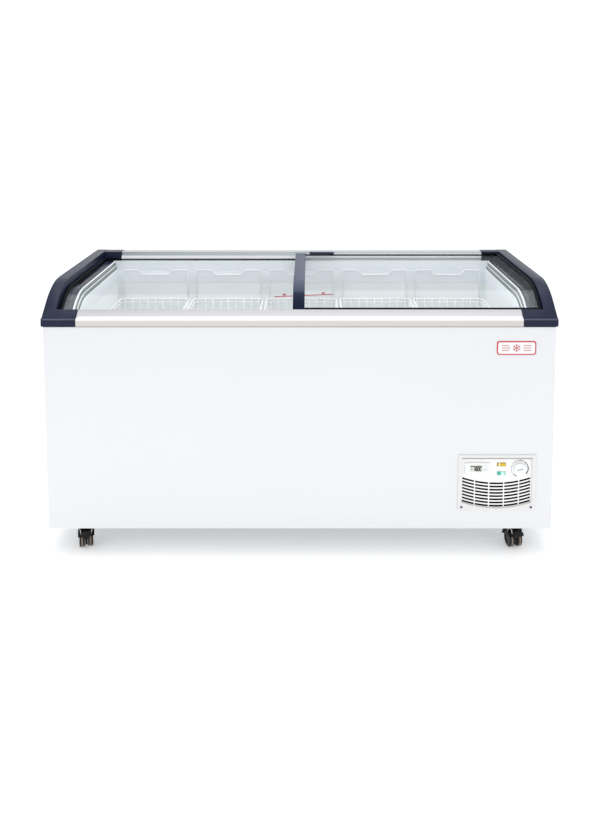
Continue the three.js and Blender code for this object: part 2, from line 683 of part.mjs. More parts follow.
function fanShroud() {
  const { x, y, z, radius } = FAN;
  const plate = box([x - 105, x + 105], [y - 8, y + 2], [BASE + 8, z + 105]);
  const mouth = rod('y', [x, y, z], radius + 4, 40, 28);
  const foot = box([x - 105, x + 105], [y - 8, y + 30], [BASE + SHELL_T + GAP, BASE + 12]);
  return join(cut(join(plate, foot), mouth), fanMotor());
}

// the motor hangs behind the shroud on a bar and two posts
function fanMotor() {
  const { x, y, z } = FAN;
  const body = rod('y', [x, y + 44, z], 29, 44, 18);
  const shaft = rod('y', [x, y + 18, z], 3, 12, 10);
  const arm = box([x - 100, x + 100], [y + 26, y + 29], [z - 6, z + 6]);
  const posts = [x - 100, x + 94].map((left) => box([left, left + 6], [y + 1, y + 28], [z - 6, z + 6]));
  return join(body, shaft, arm, ...posts);
}

function fanBlade() {
  const { radius } = FAN;
  const hub = cut(rod('y', [0, 0, 0], 18, 16, 16), rod('y', [0, 6, 0], 3.4, 10, 10));
  const blades = [0, 1, 2, 3, 4].map((i) => {
    const blade = new THREE.BoxGeometry(44, 2.4, radius - 14);
    blade.translate(0, 0, (radius - 14) / 2 + 12);
    blade.rotateZ(0.32);
    blade.rotateY((i / 5) * 2 * Math.PI);
    return toSolid(blade);
  });
  const swept = join(hub, ...blades);
  return swept.intersect(rod('y', [0, 0, 0], radius, 40, 30));
}

// drier cartridge with the liquid line from the condenser to the cabinet wall
function filterDrier() {
  const z = BASE + 60;
  return join(
    rod('y', [800, 20, z], 11, 90, 14),
    tube([[800, 60, z], [800, 100, z], [806, 130, z + 30], [812, 150, z + 90], [812, 150, z + 165]], 3, 6, 12),
    tube([[800, -20, z], [800, -120, z], [804, -200, z - 5], [804, -245, z - 10]], 3, 6, 8),
  );
}

// square-section tube wound round the liner: each loop is open at the front and joined to the
// next by a riser, at the right end and the left end in turn
function evaporatorCoil() {
  const off = LINER_T + COIL_GAP / 2;
  const half = 2.4;
  const open = 60;
  const pitch = 44;
  const loops = 7;
  const x = LINER_HALF + off + half;
  const y = [LINER_FRONT_Y - off - half, LINER_BACK_Y + off + half];
  const w = 2 * half;
  const pieces = [];
  for (let i = 0; i < loops; i += 1) {
    const z = STEP_TOP + 30 + i * pitch;
    const loop = cut(
      box([-x, x], y, [z, z + w]),
      box([-x + w, x - w], [y[0] + w, y[1] - w], [z - 1, z + w + 1]),
      box([-open, open], [y[0] - 1, y[0] + w + 1], [z - 1, z + w + 1]),
    );
    pieces.push(loop);
    const end = i % 2 === 0 ? [open + 2, open + 2 + w] : [-open - 2 - w, -open - 2];
    if (i < loops - 1) pieces.push(box(end, [y[0] + 0.2, y[0] + w - 0.2], [z + 1, z + pitch + 1]));
  }
  return join(...pieces);
}

function cordGland() {
  return cut(
    join(
      rod('y', [534, BACK_PANEL_Y + 4, BASE + 30], 11, 4.4, 16),
      rod('y', [534, BACK_PANEL_Y - 2, BASE + 30], 7.6, 14, 16),
    ),
    rod('y', [534, BACK_PANEL_Y, BASE + 30], 4, 40, 12),
  );
}

// ---------------------------------------------------------------- casters
// Each is drawn with its swivel axis at the origin and its wheels trailing towards +Y.

function casterPlate() {
  return join(
    box([-29, 29], [-32, 32], [BASE - GAP - 2.6, BASE - GAP]),
    rod('z', [0, 0, BASE - 6], 16, 8, 20),
  );
}

function hoodSector(from, to, inner, outer) {
  const steps = 10;
  const points = [];
  for (const radius of [outer, inner]) {
    for (let i = 0; i <= steps; i += 1) {
      const t = radius === outer ? i / steps : 1 - i / steps;
      const angle = from + t * (to - from);
      points.push([WHEEL_TRAIL + radius * Math.cos(angle), WHEEL_RADIUS + radius * Math.sin(angle)]);
    }
  }
  return points;
}

function casterFork() {
  const [from, to] = [0.6, 3.05];
  const hood = prismX(hoodSector(from, to, HOOD_RADIUS - 3, HOOD_RADIUS), [-26.5, 26.5]);
  const web = prismX(hoodSector(from, to, 5, HOOD_RADIUS - 1), [-4, 4]);
  const hub = rod('x', [0, WHEEL_TRAIL, WHEEL_RADIUS], 22, 8, 26);
  const neck = box([-13, 13], [-13, 22], [WHEEL_RADIUS + 24, BASE - 16]);
  const race = rod('z', [0, 0, BASE - 14], 18, 7, 20);
  const channel = [-1, 1].map((side) =>
    rod('x', [side * 16.1, WHEEL_TRAIL, WHEEL_RADIUS], WHEEL_RADIUS + 1.6, 24, 26));
  const bore = rod('x', [0, WHEEL_TRAIL, WHEEL_RADIUS], 4.3, 40, 14);
  return cut(join(hood, web, hub, neck, race), ...channel, bore);
}

// both wheels on their axle, drawn about the axle's middle
function casterWheels() {
  const wheel = (side) => {
    const [a, b] = WHEEL_X;
    const r = WHEEL_RADIUS;
    const profile = [[0, a], [r - 3, a], [r, a + 2.5], [r, b - 2.5], [r - 3, b], [r - 10, b], [r - 12, b - 3], [0, b - 3]];
    const geometry = new THREE.LatheGeometry(profile.map(([radius, x]) => new THREE.Vector2(radius, x)), 22);
    geometry.rotateZ(side > 0 ? -Math.PI / 2 : Math.PI / 2);
    return toSolid(geometry);
  };
  return join(wheel(1), wheel(-1), rod('x', [0, 0, 0], 4, 2 * WHEEL_X[1] - 8, 14));
}

// foot pedal of the wheel brake, drawn about its pivot
function brakePedal() {
  const outline = [[-3, -3], [3, -3], [11, 2], [12, 6], [7, 20], [3, 22], [1, 20], [3, 8], [-3, 3]];
  return prismX(outline, [-14, 14]);
}

// ---------------------------------------------------------------- assembly

const freezer = new THREE.Group();

function place(name, solid, material, parent = freezer, position = [0, 0, 0]) {
  const mesh = new THREE.Mesh(toGeometry(solid), material);
  mesh.name = name;
  mesh.position.set(...position);
  parent.add(mesh);
  return mesh;
}

place('outer_shell', outerShell(), paint.white);
place('back_panel', backPanel(), paint.white);
place('base_plate', basePlate(), paint.galvanised);
place('foam_insulation', foamInsulation(), paint.foam);
place('inner_liner', innerLiner(), paint.liner);
place('breaker_frame', breakerFrame(), paint.liner);
place('drain_plug', drainPlug(), paint.liner);
place('load_line_label', loadLineLabel(), paint.red);
place('badge_plate', badgePlate(), paint.red);

place('left_end_cap', endCap(-1), paint.slate);
place('right_end_cap', endCap(1), paint.slate);
place('left_end_gasket', endGasket(-1), paint.rubber);
place('right_end_gasket', endGasket(1), paint.rubber);
place('front_rail', frontRail(), paint.rail);
place('rear_rail', rearRail(), paint.rearRail);

place('left_lid_glass', lidGlass(LOWER_LID_DEPTH, [-LID_END_X + 3.3, STRIP_RIGHT_X - 3.3]), paint.glass);
place('left_lid_frame', lowerLidFrame(), paint.rubber);
place('right_lid_glass', lidGlass(UPPER_LID_DEPTH, [5.3, LID_END_X - 3.3]), paint.glass);
place('right_lid_frame', upperLidFrame(), paint.rubber);
place('right_lid_meeting_strip', meetingStrip(), paint.slate);
place('right_lid_grip', lidGrip(), paint.blackPlastic);

for (let i = 0; i < BASKET_COUNT; i += 1) {
  const x = (i - (BASKET_COUNT - 1) / 2) * BASKET_PITCH;
  place(`basket_${i + 1}`, basket(), paint.wire, freezer, [x, 0, 0]);
}

place('grille_panel', grillePanel(), paint.white);
place('grille_screw_left', grilleScrew(SCREWS[0]), paint.screw);
place('grille_screw_right', grilleScrew(SCREWS[1]), paint.screw);
place('display_case', displayCase(), paint.white);
place('display_window', displayWindow(), paint.lcd);
place('display_button_upper', displayButton(BUTTON_Z[0]), paint.white);
place('display_button_lower', displayButton(BUTTON_Z[1]), paint.white);
place('rocker_switch', rockerSwitch(), paint.yellow);
place('power_lamp', powerLamp(), paint.green);
place('thermostat_knob', thermostatKnob(), paint.white);
place('thermostat_body', thermostatBody(), paint.blackPlastic);

place('bay_lining', bayLining(), paint.galvanised);
place('compressor_tray', compressorTray(), paint.galvanised);
place('compressor', compressor(), paint.blackSteel);
place('condenser', condenser(), paint.galvanised);
place('fan_motor_and_shroud', fanShroud(), paint.blackPlastic);
place('fan_blade', fanBlade(), paint.blackPlastic, freezer, [FAN.x, FAN.y, FAN.z]);
place('filter_drier', filterDrier(), paint.copper);
place('evaporator_coil', evaporatorCoil(), paint.copper);
place('cord_gland', cordGland(), paint.blackPlastic);

const CASTERS = [
  { name: 'front_left', x: -730, y: -CASTER_Y, turn: 196, brake: true },
  { name: 'front_right', x: 719, y: -CASTER_Y, turn: 190, brake: true },
  { name: 'rear_left', x: -724, y: CASTER_Y, turn: 20, brake: false },
  { name: 'rear_right', x: 724, y: CASTER_Y, turn: -15, brake: false },
];

for (const { name, x, y, turn, brake } of CASTERS) {
  place(`${name}_caster_plate`, casterPlate(), paint.blackSteel, freezer, [x, y, 0]);
  const swivel = new THREE.Group();
  swivel.position.set(x, y, 0);
  swivel.rotation.z = THREE.MathUtils.degToRad(turn);
  freezer.add(swivel);
  place(`${name}_caster_fork`, casterFork(), paint.blackPlastic, swivel);
  place(`${name}_caster_wheels`, casterWheels(), paint.tyre, swivel, [0, WHEEL_TRAIL, WHEEL_RADIUS]);
  if (brake) place(`${name}_brake_pedal`, brakePedal(), paint.blackPlastic, swivel, [0, WHEEL_TRAIL + 30, WHEEL_RADIUS + 22]);
}

export default freezer;
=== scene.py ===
"""Looks of the display chest freezer: camera, studio, materials and the fine pieces over the CAD frame."""

import json
import math

import bmesh
import bpy
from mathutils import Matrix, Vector


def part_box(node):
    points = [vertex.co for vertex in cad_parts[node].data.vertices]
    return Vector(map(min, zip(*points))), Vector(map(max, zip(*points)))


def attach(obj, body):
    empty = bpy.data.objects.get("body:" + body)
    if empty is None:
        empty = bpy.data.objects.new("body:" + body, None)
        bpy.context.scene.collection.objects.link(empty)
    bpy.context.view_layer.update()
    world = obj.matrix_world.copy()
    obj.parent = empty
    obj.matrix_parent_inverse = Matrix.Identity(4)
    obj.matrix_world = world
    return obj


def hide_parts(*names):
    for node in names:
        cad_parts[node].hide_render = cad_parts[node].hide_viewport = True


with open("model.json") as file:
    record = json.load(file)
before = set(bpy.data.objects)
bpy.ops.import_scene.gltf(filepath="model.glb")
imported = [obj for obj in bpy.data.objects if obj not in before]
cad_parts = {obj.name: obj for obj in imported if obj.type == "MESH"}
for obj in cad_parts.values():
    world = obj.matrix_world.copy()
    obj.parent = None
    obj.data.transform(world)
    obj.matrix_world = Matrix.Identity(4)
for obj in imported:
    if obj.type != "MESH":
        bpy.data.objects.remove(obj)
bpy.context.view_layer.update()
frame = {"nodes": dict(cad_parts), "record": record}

# ---------------------------------------------------------------- dimensions shared with the CAD, in metres

BASE = 0.086
CREST_Y = -0.315
ARC_START_Y = -0.290
ARC_END_Y = -0.145
RIM_RADIUS = 0.226
RIM_TOP = BASE + 0.807
RIM_RISE = 0.0115
FRONT_Y = -0.350
REAR_FACE_Y = 0.303
LIP_TOP = BASE + 0.706
SIDE_X = 0.840
RAIL_END_X = 0.729
SIDES = {"left": -1, "right": 1}

LID_END_X = 0.798
STRIP_RIGHT_X = 0.016
LID_T = 0.008
GLASS_T = 0.004
UPPER_LID_DEPTH = 0.007
LOWER_LID_DEPTH = 0.025
LEDGE_DEPTH = 0.036

BASKET_COUNT = 5
BASKET_PITCH = 0.294
BASKET_HALF = 0.142
BASKET_FRONT_Y = -0.263
BASKET_BACK_Y = 0.268
BASKET_FLOOR = BASE + 0.430
BASKET_RIM = BASE + 0.630
HANGER_HALF = 0.1295
REAR_HANGER_TOP = BASE + 0.7455
FRONT_HANGER_TOP = BASE + 0.7065
REAR_HOOK_Y = 0.286
FRONT_HOOK_Y = -0.281

PLATE_Y = -0.341
RECESS_LEFT_X = 0.534
RECESS_RIGHT_X = 0.767
RECESS_TOP = BASE + 0.2445
# Bottom and top of the black sheet of painted shade behind the louvres.
SHADE_SHEET_BOTTOM = BASE + 0.069
SHADE_SHEET_TOP = BASE + 0.178
KNOB_X = 0.7277
KNOB_Z = BASE + 0.2038
SWITCH_LEFT_X = 0.6530

BADGE_LEFT_X = 0.642
BADGE_RIGHT_X = 0.770
BADGE_BOTTOM = BASE + 0.591
BADGE_TOP = BASE + 0.637

WHEEL_RADIUS = 0.027
WHEEL_TRAIL = 0.020
CASTER_TURNS = {"front_left": 196, "front_right": 190, "rear_left": 20, "rear_right": -15}

# ---------------------------------------------------------------- camera and studio

CAMERA_PLACE = (0.03295, -2.8381, 1.47296)
CAMERA_PITCH = 5.0
CAMERA_LENS = 34.679
CAMERA_SHIFT = (-0.00577, -0.28106)
SKY_COLOR = (0.985, 0.99, 1.0, 1.0)
SKY_STRENGTH = 1.02
FLOOR_SIZE = 24.0
FLOOR_GLOW = 0.27


def make_camera():
    data = bpy.data.cameras.new("camera")
    data.sensor_fit = "AUTO"
    data.sensor_width = 36.0
    data.lens = CAMERA_LENS
    data.shift_x, data.shift_y = CAMERA_SHIFT
    camera = bpy.data.objects.new("camera", data)
    camera.location = CAMERA_PLACE
    camera.rotation_euler = (math.radians(90.0 - CAMERA_PITCH), 0.0, 0.0)
    bpy.context.scene.collection.objects.link(camera)
    bpy.context.scene.camera = camera


def area_light(name, location, aim, size, power):
    data = bpy.data.lights.new(name, "AREA")
    data.shape = "RECTANGLE"
    data.size, data.size_y = size
    data.energy = power
    light = bpy.data.objects.new(name, data)
    light.location = location
    light.rotation_euler = (Vector(aim) - Vector(location)).to_track_quat("-Z", "Y").to_euler()
    bpy.context.scene.collection.objects.link(light)


def make_sky():
    world = bpy.data.worlds.new("studio")
    world.use_nodes = True
    background = world.node_tree.nodes["Background"]
    background.inputs["Color"].default_value = SKY_COLOR
    background.inputs["Strength"].default_value = SKY_STRENGTH
    bpy.context.scene.world = world
    bpy.context.scene.view_settings.view_transform = "Standard"


def make_floor():
    """White paper with a faint glow of its own, so that it stays as pale as the background."""
    bpy.ops.mesh.primitive_plane_add(size=FLOOR_SIZE, location=(0.0, 0.0, 0.0))
    floor = bpy.context.object
    floor.name = "floor"
    paper, _, shader = new_material("studio_paper")
    shader.inputs["Base Color"].default_value = (0.9, 0.9, 0.9, 1.0)
    shader.inputs["Roughness"].default_value = 0.9
    shader.inputs["Emission Color"].default_value = (1.0, 1.0, 1.0, 1.0)
    shader.inputs["Emission Strength"].default_value = FLOOR_GLOW
    floor.data.materials.append(paper)


def make_studio():
    make_sky()
    make_floor()
    area_light("key", location=(-1.6, -3.2, 3.4), aim=(0.0, 0.0, 0.7), size=(2.6, 1.6), power=8.0)
    area_light("top", location=(0.0, 0.2, 3.2), aim=(0.0, 0.0, 0.8), size=(3.2, 1.6), power=30.0)


# ---------------------------------------------------------------- kinds of material

ROUGHNESS_SPREAD = 0.05
GRAIN_DEPTH = 0.0004
BANDED_GRAIN = 0.04
BANDED_GRAIN_SCALE = 500.0
BANDED_GRAIN_DEPTH = 0.0003


def new_material(name):
    made = bpy.data.materials.new(name)
    made.use_nodes = True
    return made, made.node_tree, made.node_tree.nodes["Principled BSDF"]


def noise(tree, scale, detail=3.0):
    coordinates = tree.nodes.new("ShaderNodeTexCoord")
    texture = tree.nodes.new("ShaderNodeTexNoise")
    texture.inputs["Scale"].default_value = scale
    texture.inputs["Detail"].default_value = detail
    tree.links.new(coordinates.outputs["Object"], texture.inputs["Vector"])
    return texture


def add_bump(tree, shader, texture, strength, depth):
    bump = tree.nodes.new("ShaderNodeBump")
    bump.inputs["Strength"].default_value = strength
    bump.inputs["Distance"].default_value = depth
    tree.links.new(texture.outputs["Fac"], bump.inputs["Height"])
    tree.links.new(bump.outputs["Normal"], shader.inputs["Normal"])


def vary_roughness(tree, shader, texture, low, high):
    polish = tree.nodes.new("ShaderNodeMapRange")
    polish.inputs["To Min"].default_value = low
    polish.inputs["To Max"].default_value = high
    tree.links.new(texture.outputs["Fac"], polish.inputs["Value"])
    tree.links.new(polish.outputs["Result"], shader.inputs["Roughness"])


def surface(name, color, roughness, metallic=0.0, mottle=0.03, mottle_scale=7.0, grain=0.0,
            grain_scale=900.0, coat=0.0, gloss=0.5):
    """One opaque finish: colour and roughness drift slowly, and a fine bump gives the grain."""
    made, tree, shader = new_material(name)
    ramp = tree.nodes.new("ShaderNodeValToRGB")
    ramp.color_ramp.elements[0].position = 0.3
    ramp.color_ramp.elements[1].position = 0.7
    ramp.color_ramp.elements[0].color = (*[c * (1.0 - mottle) for c in color], 1.0)
    ramp.color_ramp.elements[1].color = (*color, 1.0)
    tree.links.new(noise(tree, mottle_scale).outputs["Fac"], ramp.inputs["Fac"])
    tree.links.new(ramp.outputs["Color"], shader.inputs["Base Color"])
    vary_roughness(tree, shader, noise(tree, mottle_scale * 4.0),
                   roughness - ROUGHNESS_SPREAD, roughness + ROUGHNESS_SPREAD)
    shader.inputs["Metallic"].default_value = metallic
    shader.inputs["Coat Weight"].default_value = coat
    shader.inputs["Specular IOR Level"].default_value = gloss
    if grain:
        add_bump(tree, shader, noise(tree, grain_scale, 2.0), grain, GRAIN_DEPTH)
    return made


def banded(name, axis, stops, roughness, gloss=0.5):
    """A finish whose colour changes along one axis, between stops of (position, colour)."""
    made, tree, shader = new_material(name)
    coordinates = tree.nodes.new("ShaderNodeTexCoord")
    split = tree.nodes.new("ShaderNodeSeparateXYZ")
    scale = tree.nodes.new("ShaderNodeMapRange")
    low, high = stops[0][0], stops[-1][0]
    scale.inputs["From Min"].default_value = low
    scale.inputs["From Max"].default_value = high
    ramp = tree.nodes.new("ShaderNodeValToRGB")
    while len(ramp.color_ramp.elements) < len(stops):
        ramp.color_ramp.elements.new(0.5)
    for element, (place, color) in zip(ramp.color_ramp.elements, stops):
        element.position = (place - low) / (high - low)
        element.color = (*color, 1.0)
    tree.links.new(coordinates.outputs["Object"], split.inputs["Vector"])
    tree.links.new(split.outputs[axis], scale.inputs["Value"])
    tree.links.new(scale.outputs["Result"], ramp.inputs["Fac"])
    tree.links.new(ramp.outputs["Color"], shader.inputs["Base Color"])
    add_bump(tree, shader, noise(tree, BANDED_GRAIN_SCALE), BANDED_GRAIN, BANDED_GRAIN_DEPTH)
    shader.inputs["Roughness"].default_value = roughness
    shader.inputs["Specular IOR Level"].default_value = gloss
    return made


# ---------------------------------------------------------------- the materials

PLAIN_FINISHES = {
    "white_paint": dict(color=(0.775, 0.78, 0.80), roughness=0.38, mottle=0.012, mottle_scale=2.0,
                        grain=0.05, grain_scale=650.0, coat=0.1),
    "liner_sheet": dict(color=(0.84, 0.875, 0.885), roughness=0.45, grain=0.05),
    "white_plastic": dict(color=(0.86, 0.87, 0.875), roughness=0.4, grain=0.05),
    # painted shade for the underside along the top of the panel's recess
    "painted_shade_plastic": dict(color=(0.42, 0.42, 0.40), roughness=0.5, grain=0.05),
    "breaker_plastic": dict(color=(0.86, 0.90, 0.95), roughness=0.4, grain=0.05),
    "slate_plastic": dict(color=(0.0115, 0.0165, 0.042), roughness=0.36, mottle=0.08, grain=0.03, gloss=0.2),
    # painted highlight: slate paler than the end caps, for the lip bead
    "bead_painted_highlight": dict(color=(0.045, 0.055, 0.11), roughness=0.22, mottle=0.05, gloss=0.6),
    "ledge_gloss": dict(color=(0.006, 0.008, 0.024), roughness=0.28, grain=0.03, gloss=0.3),
    # painted reflection: mottled grey-green on the breaker frame's steps
    "step_painted_reflection": dict(color=(0.27, 0.32, 0.31), roughness=0.35, mottle=0.3, mottle_scale=12.0, gloss=0.2),
    "rail_aluminium": dict(color=(0.52, 0.55, 0.57), roughness=0.38, metallic=0.35, grain=0.04),
    # painted light: pale for the rear rail's shaded step faces
    "rail_painted_light": dict(color=(0.90, 0.90, 0.94), roughness=0.4, grain=0.03),
    "lid_trim": dict(color=(0.80, 0.81, 0.83), roughness=0.3, metallic=0.2),
    "rubber_seal": dict(color=(0.004, 0.005, 0.008), roughness=0.6, grain=0.1, gloss=0.12),
    "basket_wire": dict(color=(0.94, 0.95, 0.95), roughness=0.35, mottle=0.05, mottle_scale=40.0),
    "foam": dict(color=(0.82, 0.72, 0.46), roughness=0.95, mottle=0.1, grain=0.8, grain_scale=1500.0),
    "galvanised": dict(color=(0.56, 0.58, 0.6), roughness=0.42, metallic=0.85,
                       mottle=0.18, mottle_scale=60.0),
    "copper_tube": dict(color=(0.62, 0.29, 0.16), roughness=0.34, metallic=0.9,
                        mottle=0.12, mottle_scale=30.0),
    "aluminium_fins": dict(color=(0.6, 0.62, 0.64), roughness=0.4, metallic=0.8, mottle=0.1),
    "black_steel": dict(color=(0.006, 0.006, 0.007), roughness=0.35, metallic=0.1,
                        grain=0.12, grain_scale=500.0, gloss=0.25),
    "black_plastic": dict(color=(0.006, 0.006, 0.007), roughness=0.4,
                          grain=0.15, grain_scale=700.0, gloss=0.2),
    "wheel_tread": dict(color=(0.012, 0.009, 0.008), roughness=0.36, mottle=0.15, grain=0.1, gloss=0.3),
    # painted highlight on the wheel treads
    "painted_tread_glint": dict(color=(0.30, 0.21, 0.15), roughness=0.5, mottle=0.3, mottle_scale=60.0),
    # painted shade behind the louvres
    "painted_shade_mat": dict(color=(0.004, 0.004, 0.005), roughness=0.9, gloss=0.05),
    "display_glass": dict(color=(0.74, 0.76, 0.66), roughness=0.2, mottle=0.04, coat=0.6),
    "blue_screw": dict(color=(0.05, 0.075, 0.18), roughness=0.3, metallic=0.7, mottle=0.1),
    "chrome": dict(color=(0.75, 0.75, 0.75), roughness=0.15, metallic=1.0, mottle=0.05),
    "badge_face": dict(color=(0.60, 0.025, 0.05), roughness=0.25, mottle=0.04, coat=0.5),
    "white_enamel": dict(color=(0.86, 0.86, 0.86), roughness=0.25, coat=0.5),
    "red_print": dict(color=(0.50, 0.012, 0.025), roughness=0.4, mottle=0.06, mottle_scale=80.0),
    "dial_ink": dict(color=(0.03, 0.03, 0.05), roughness=0.5),
    "black_ink": dict(color=(0.02, 0.02, 0.025), roughness=0.5),
    "grey_ink": dict(color=(0.25, 0.25, 0.27), roughness=0.5),
}


def lid_glass():
    """Thin clear sheet: nearly all of it lets light straight through, the rest mirrors."""
    made, tree, shader = new_material("lid_glass")
    tint = tree.nodes.new("ShaderNodeValToRGB")
    tint.color_ramp.elements[0].color = (0.80, 0.88, 0.88, 1.0)
    tint.color_ramp.elements[1].color = (0.88, 0.95, 0.97, 1.0)
    tree.links.new(noise(tree, 2.0).outputs["Fac"], tint.inputs["Fac"])
    tree.links.new(tint.outputs["Color"], shader.inputs["Base Color"])
    vary_roughness(tree, shader, noise(tree, 6.0), 0.01, 0.04)
    shader.inputs["Metallic"].default_value = 1.0
    shader.inputs["Alpha"].default_value = 0.03
    return made


def panel_plastic():
    """White on the panel's face, with painted shade: a little greyer down the recess's walls, and black
    inside the slots.
    """
    return banded("panel_plastic", "Y", [
        (PLATE_Y - 0.010, (0.76, 0.76, 0.74)),
        (PLATE_Y - 0.0086, (0.76, 0.76, 0.74)),
        # painted shade down the recess's walls
        (PLATE_Y - 0.0078, (0.66, 0.66, 0.64)),
        (PLATE_Y - 0.0015, (0.72, 0.72, 0.70)),
        (PLATE_Y - 0.0004, (0.90, 0.90, 0.90)),
        (PLATE_Y + 0.0001, (0.90, 0.90, 0.90)),
        # painted shade: black inside the slots
        (PLATE_Y + 0.0004, (0.006, 0.006, 0.007)),
        (PLATE_Y + 0.020, (0.006, 0.006, 0.007)),
    ], 0.4)


def front_rail_painted_light():
    """Painted light on the rail's metal: warm grey below, a painted highlight as a pale band along the bend,
    and a darker top.
    """
    return banded("front_rail", "Z", [
        (BASE + 0.685, (0.60, 0.565, 0.54)),
        (BASE + 0.7035, (0.64, 0.60, 0.575)),
        # painted highlight along the bend
        (BASE + 0.7065, (0.88, 0.87, 0.87)),
        (BASE + 0.7135, (0.88, 0.87, 0.88)),
        (BASE + 0.7165, (0.56, 0.55, 0.57)),
        (BASE + 0.734, (0.46, 0.45, 0.47)),
    ], 0.32)


def meeting_strip_painted_light():
    """Slate with painted light, fading paler towards the top of the curve."""
    return banded("meeting_strip", "Z", [
        (BASE + 0.725, (0.006, 0.010, 0.028)),
        (BASE + 0.752, (0.007, 0.011, 0.031)),
        # painted light: paler towards the top
        (BASE + 0.772, (0.015, 0.022, 0.048)),
        (BASE + 0.778, (0.055, 0.066, 0.105)),
        (BASE + 0.795, (0.085, 0.10, 0.145)),
        (BASE + 0.810, (0.12, 0.13, 0.175)),
    ], 0.45, gloss=0.05)


def amber_lens():
    """Clear amber plastic, with a highlight painted into its left half."""
    return banded("amber_lens", "X", [
        (SWITCH_LEFT_X, (0.55, 0.36, 0.01)),
        (SWITCH_LEFT_X + 0.004, (0.74, 0.50, 0.02)),
        # painted highlight
        (SWITCH_LEFT_X + 0.007, (0.95, 0.88, 0.60)),
        (SWITCH_LEFT_X + 0.010, (0.80, 0.56, 0.03)),
        (SWITCH_LEFT_X + 0.0132, (0.45, 0.28, 0.01)),
        (SWITCH_LEFT_X + 0.0146, (0.70, 0.48, 0.01)),
        (SWITCH_LEFT_X + 0.0285, (0.66, 0.46, 0.01)),
    ], 0.22)


def green_lens():
    """Clear green plastic, with a highlight painted right of its middle."""
    return banded("green_lens", "X", [
        (SWITCH_LEFT_X, (0.04, 0.34, 0.25)),
        (SWITCH_LEFT_X + 0.006, (0.08, 0.50, 0.38)),
        (SWITCH_LEFT_X + 0.0105, (0.05, 0.30, 0.24)),
        # painted highlight
        (SWITCH_LEFT_X + 0.012, (0.45, 0.85, 0.72)),
        (SWITCH_LEFT_X + 0.020, (0.60, 0.92, 0.80)),
        (SWITCH_LEFT_X + 0.0285, (0.12, 0.55, 0.42)),
    ], 0.22)


def make_materials():
    materials = {name: surface(name, **look) for name, look in PLAIN_FINISHES.items()}
    materials["lid_glass"] = lid_glass()
    materials["panel_plastic"] = panel_plastic()
    materials["front_rail"] = front_rail_painted_light()
    materials["meeting_strip"] = meeting_strip_painted_light()
    materials["amber_lens"] = amber_lens()
    materials["green_lens"] = green_lens()
    return materials


# ---------------------------------------------------------------- mesh helpers

CREASE_ANGLE = 30.0
WELD_DISTANCE = 1e-5
FLAT_ANGLE = 0.6


def add_piece(name, bm, material, body, smooth=True):
    """A finished mesh as an object that rides on a body, in one material slot."""
    mesh = bpy.data.meshes.new(name)
    bmesh.ops.recalc_face_normals(bm, faces=bm.faces)
    bm.to_mesh(mesh)
    bm.free()
    for polygon in mesh.polygons:
        polygon.use_smooth = smooth
    mesh.materials.append(material)
    piece = bpy.data.objects.new(name, mesh)
    bpy.context.scene.collection.objects.link(piece)
    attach(piece, body)
    return piece


def soften(piece, width, segments=2):
    """Rounds the piece's sharp edges."""
    bevel = piece.modifiers.new("edges", "BEVEL")
    bevel.width = width
    bevel.segments = segments
    bevel.limit_method = "ANGLE"
    bevel.angle_limit = math.radians(CREASE_ANGLE)
    bevel.harden_normals = True


def node_body(node):
    for body, members in frame["record"]["behaviour"]["bodies"].items():
        if node in members:
            return body
    raise ValueError(node)


def refined(node, width, material, segments=2):
    """The CAD solid again with its edges rounded, standing for the CAD node."""
    bm = bmesh.new()
    bm.from_mesh(frame["nodes"][node].data)
    bmesh.ops.remove_doubles(bm, verts=bm.verts, dist=WELD_DISTANCE)
    bmesh.ops.dissolve_limit(bm, angle_limit=math.radians(FLAT_ANGLE), verts=bm.verts, edges=bm.edges)
    piece = add_piece("fine_" + node, bm, material, node_body(node))
    soften(piece, width, segments)
    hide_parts(node)


def turns(count):
    """Angles of points spaced evenly round a circle."""
    return [2.0 * math.pi * k / count for k in range(count)]


def bridge(bm, a, b):
    """Faces between two closed rings of as many points."""
    for k in range(len(a)):
        n = (k + 1) % len(a)
        bm.faces.new((a[k], a[n], b[n], b[k]))


def loft(bm, rings, closed=False):
    """A skin over a row of rings, with its ends capped or, when closed, joined to each other."""
    for a, b in zip(rings, rings[1:]):
        bridge(bm, a, b)
    if closed:
        bridge(bm, rings[-1], rings[0])
    else:
        bm.faces.new(rings[0][::-1])
        bm.faces.new(rings[-1])


def wire(bm, points, radius, sides=8, closed=False):
    """A round wire along a line of points."""
    points = [Vector(p) for p in points]
    count = len(points)
    rings = []
    side = None
    for i, point in enumerate(points):
        before = points[i - 1] if (i > 0 or closed) else point
        after = points[(i + 1) % count] if (i < count - 1 or closed) else point
        tangent = ((point - before).normalized() + (after - point).normalized()).normalized()
        if side is None:
            side = tangent.orthogonal().normalized()
        side = (side - tangent * side.dot(tangent)).normalized()
        up = tangent.cross(side)
        rings.append([bm.verts.new(point + radius * (math.cos(angle) * side + math.sin(angle) * up))
                      for angle in turns(sides)])
    loft(bm, rings, closed)


def rounded_path(points, radius, closed=False, steps=3):
    """The same line with its corners turned through short arcs."""
    points = [Vector(p) for p in points]
    count = len(points)
    result = []
    for i, point in enumerate(points):
        if not closed and i in (0, count - 1):
            result.append(point)
            continue
        before, after = points[i - 1], points[(i + 1) % count]
        reach = min(radius, (before - point).length * 0.45, (after - point).length * 0.45)
        start = point + (before - point).normalized() * reach
        end = point + (after - point).normalized() * reach
        for k in range(steps + 1):
            t = k / steps
            result.append((1 - t) ** 2 * start + 2 * t * (1 - t) * point + t ** 2 * end)
    return result


def plate(bm, outline, near_y, far_y):
    """A flat outline in X and Z, given thickness along Y."""
    front = [bm.verts.new((x, near_y, z)) for x, z in outline]
    back = [bm.verts.new((x, far_y, z)) for x, z in outline]
    loft(bm, [back, front])


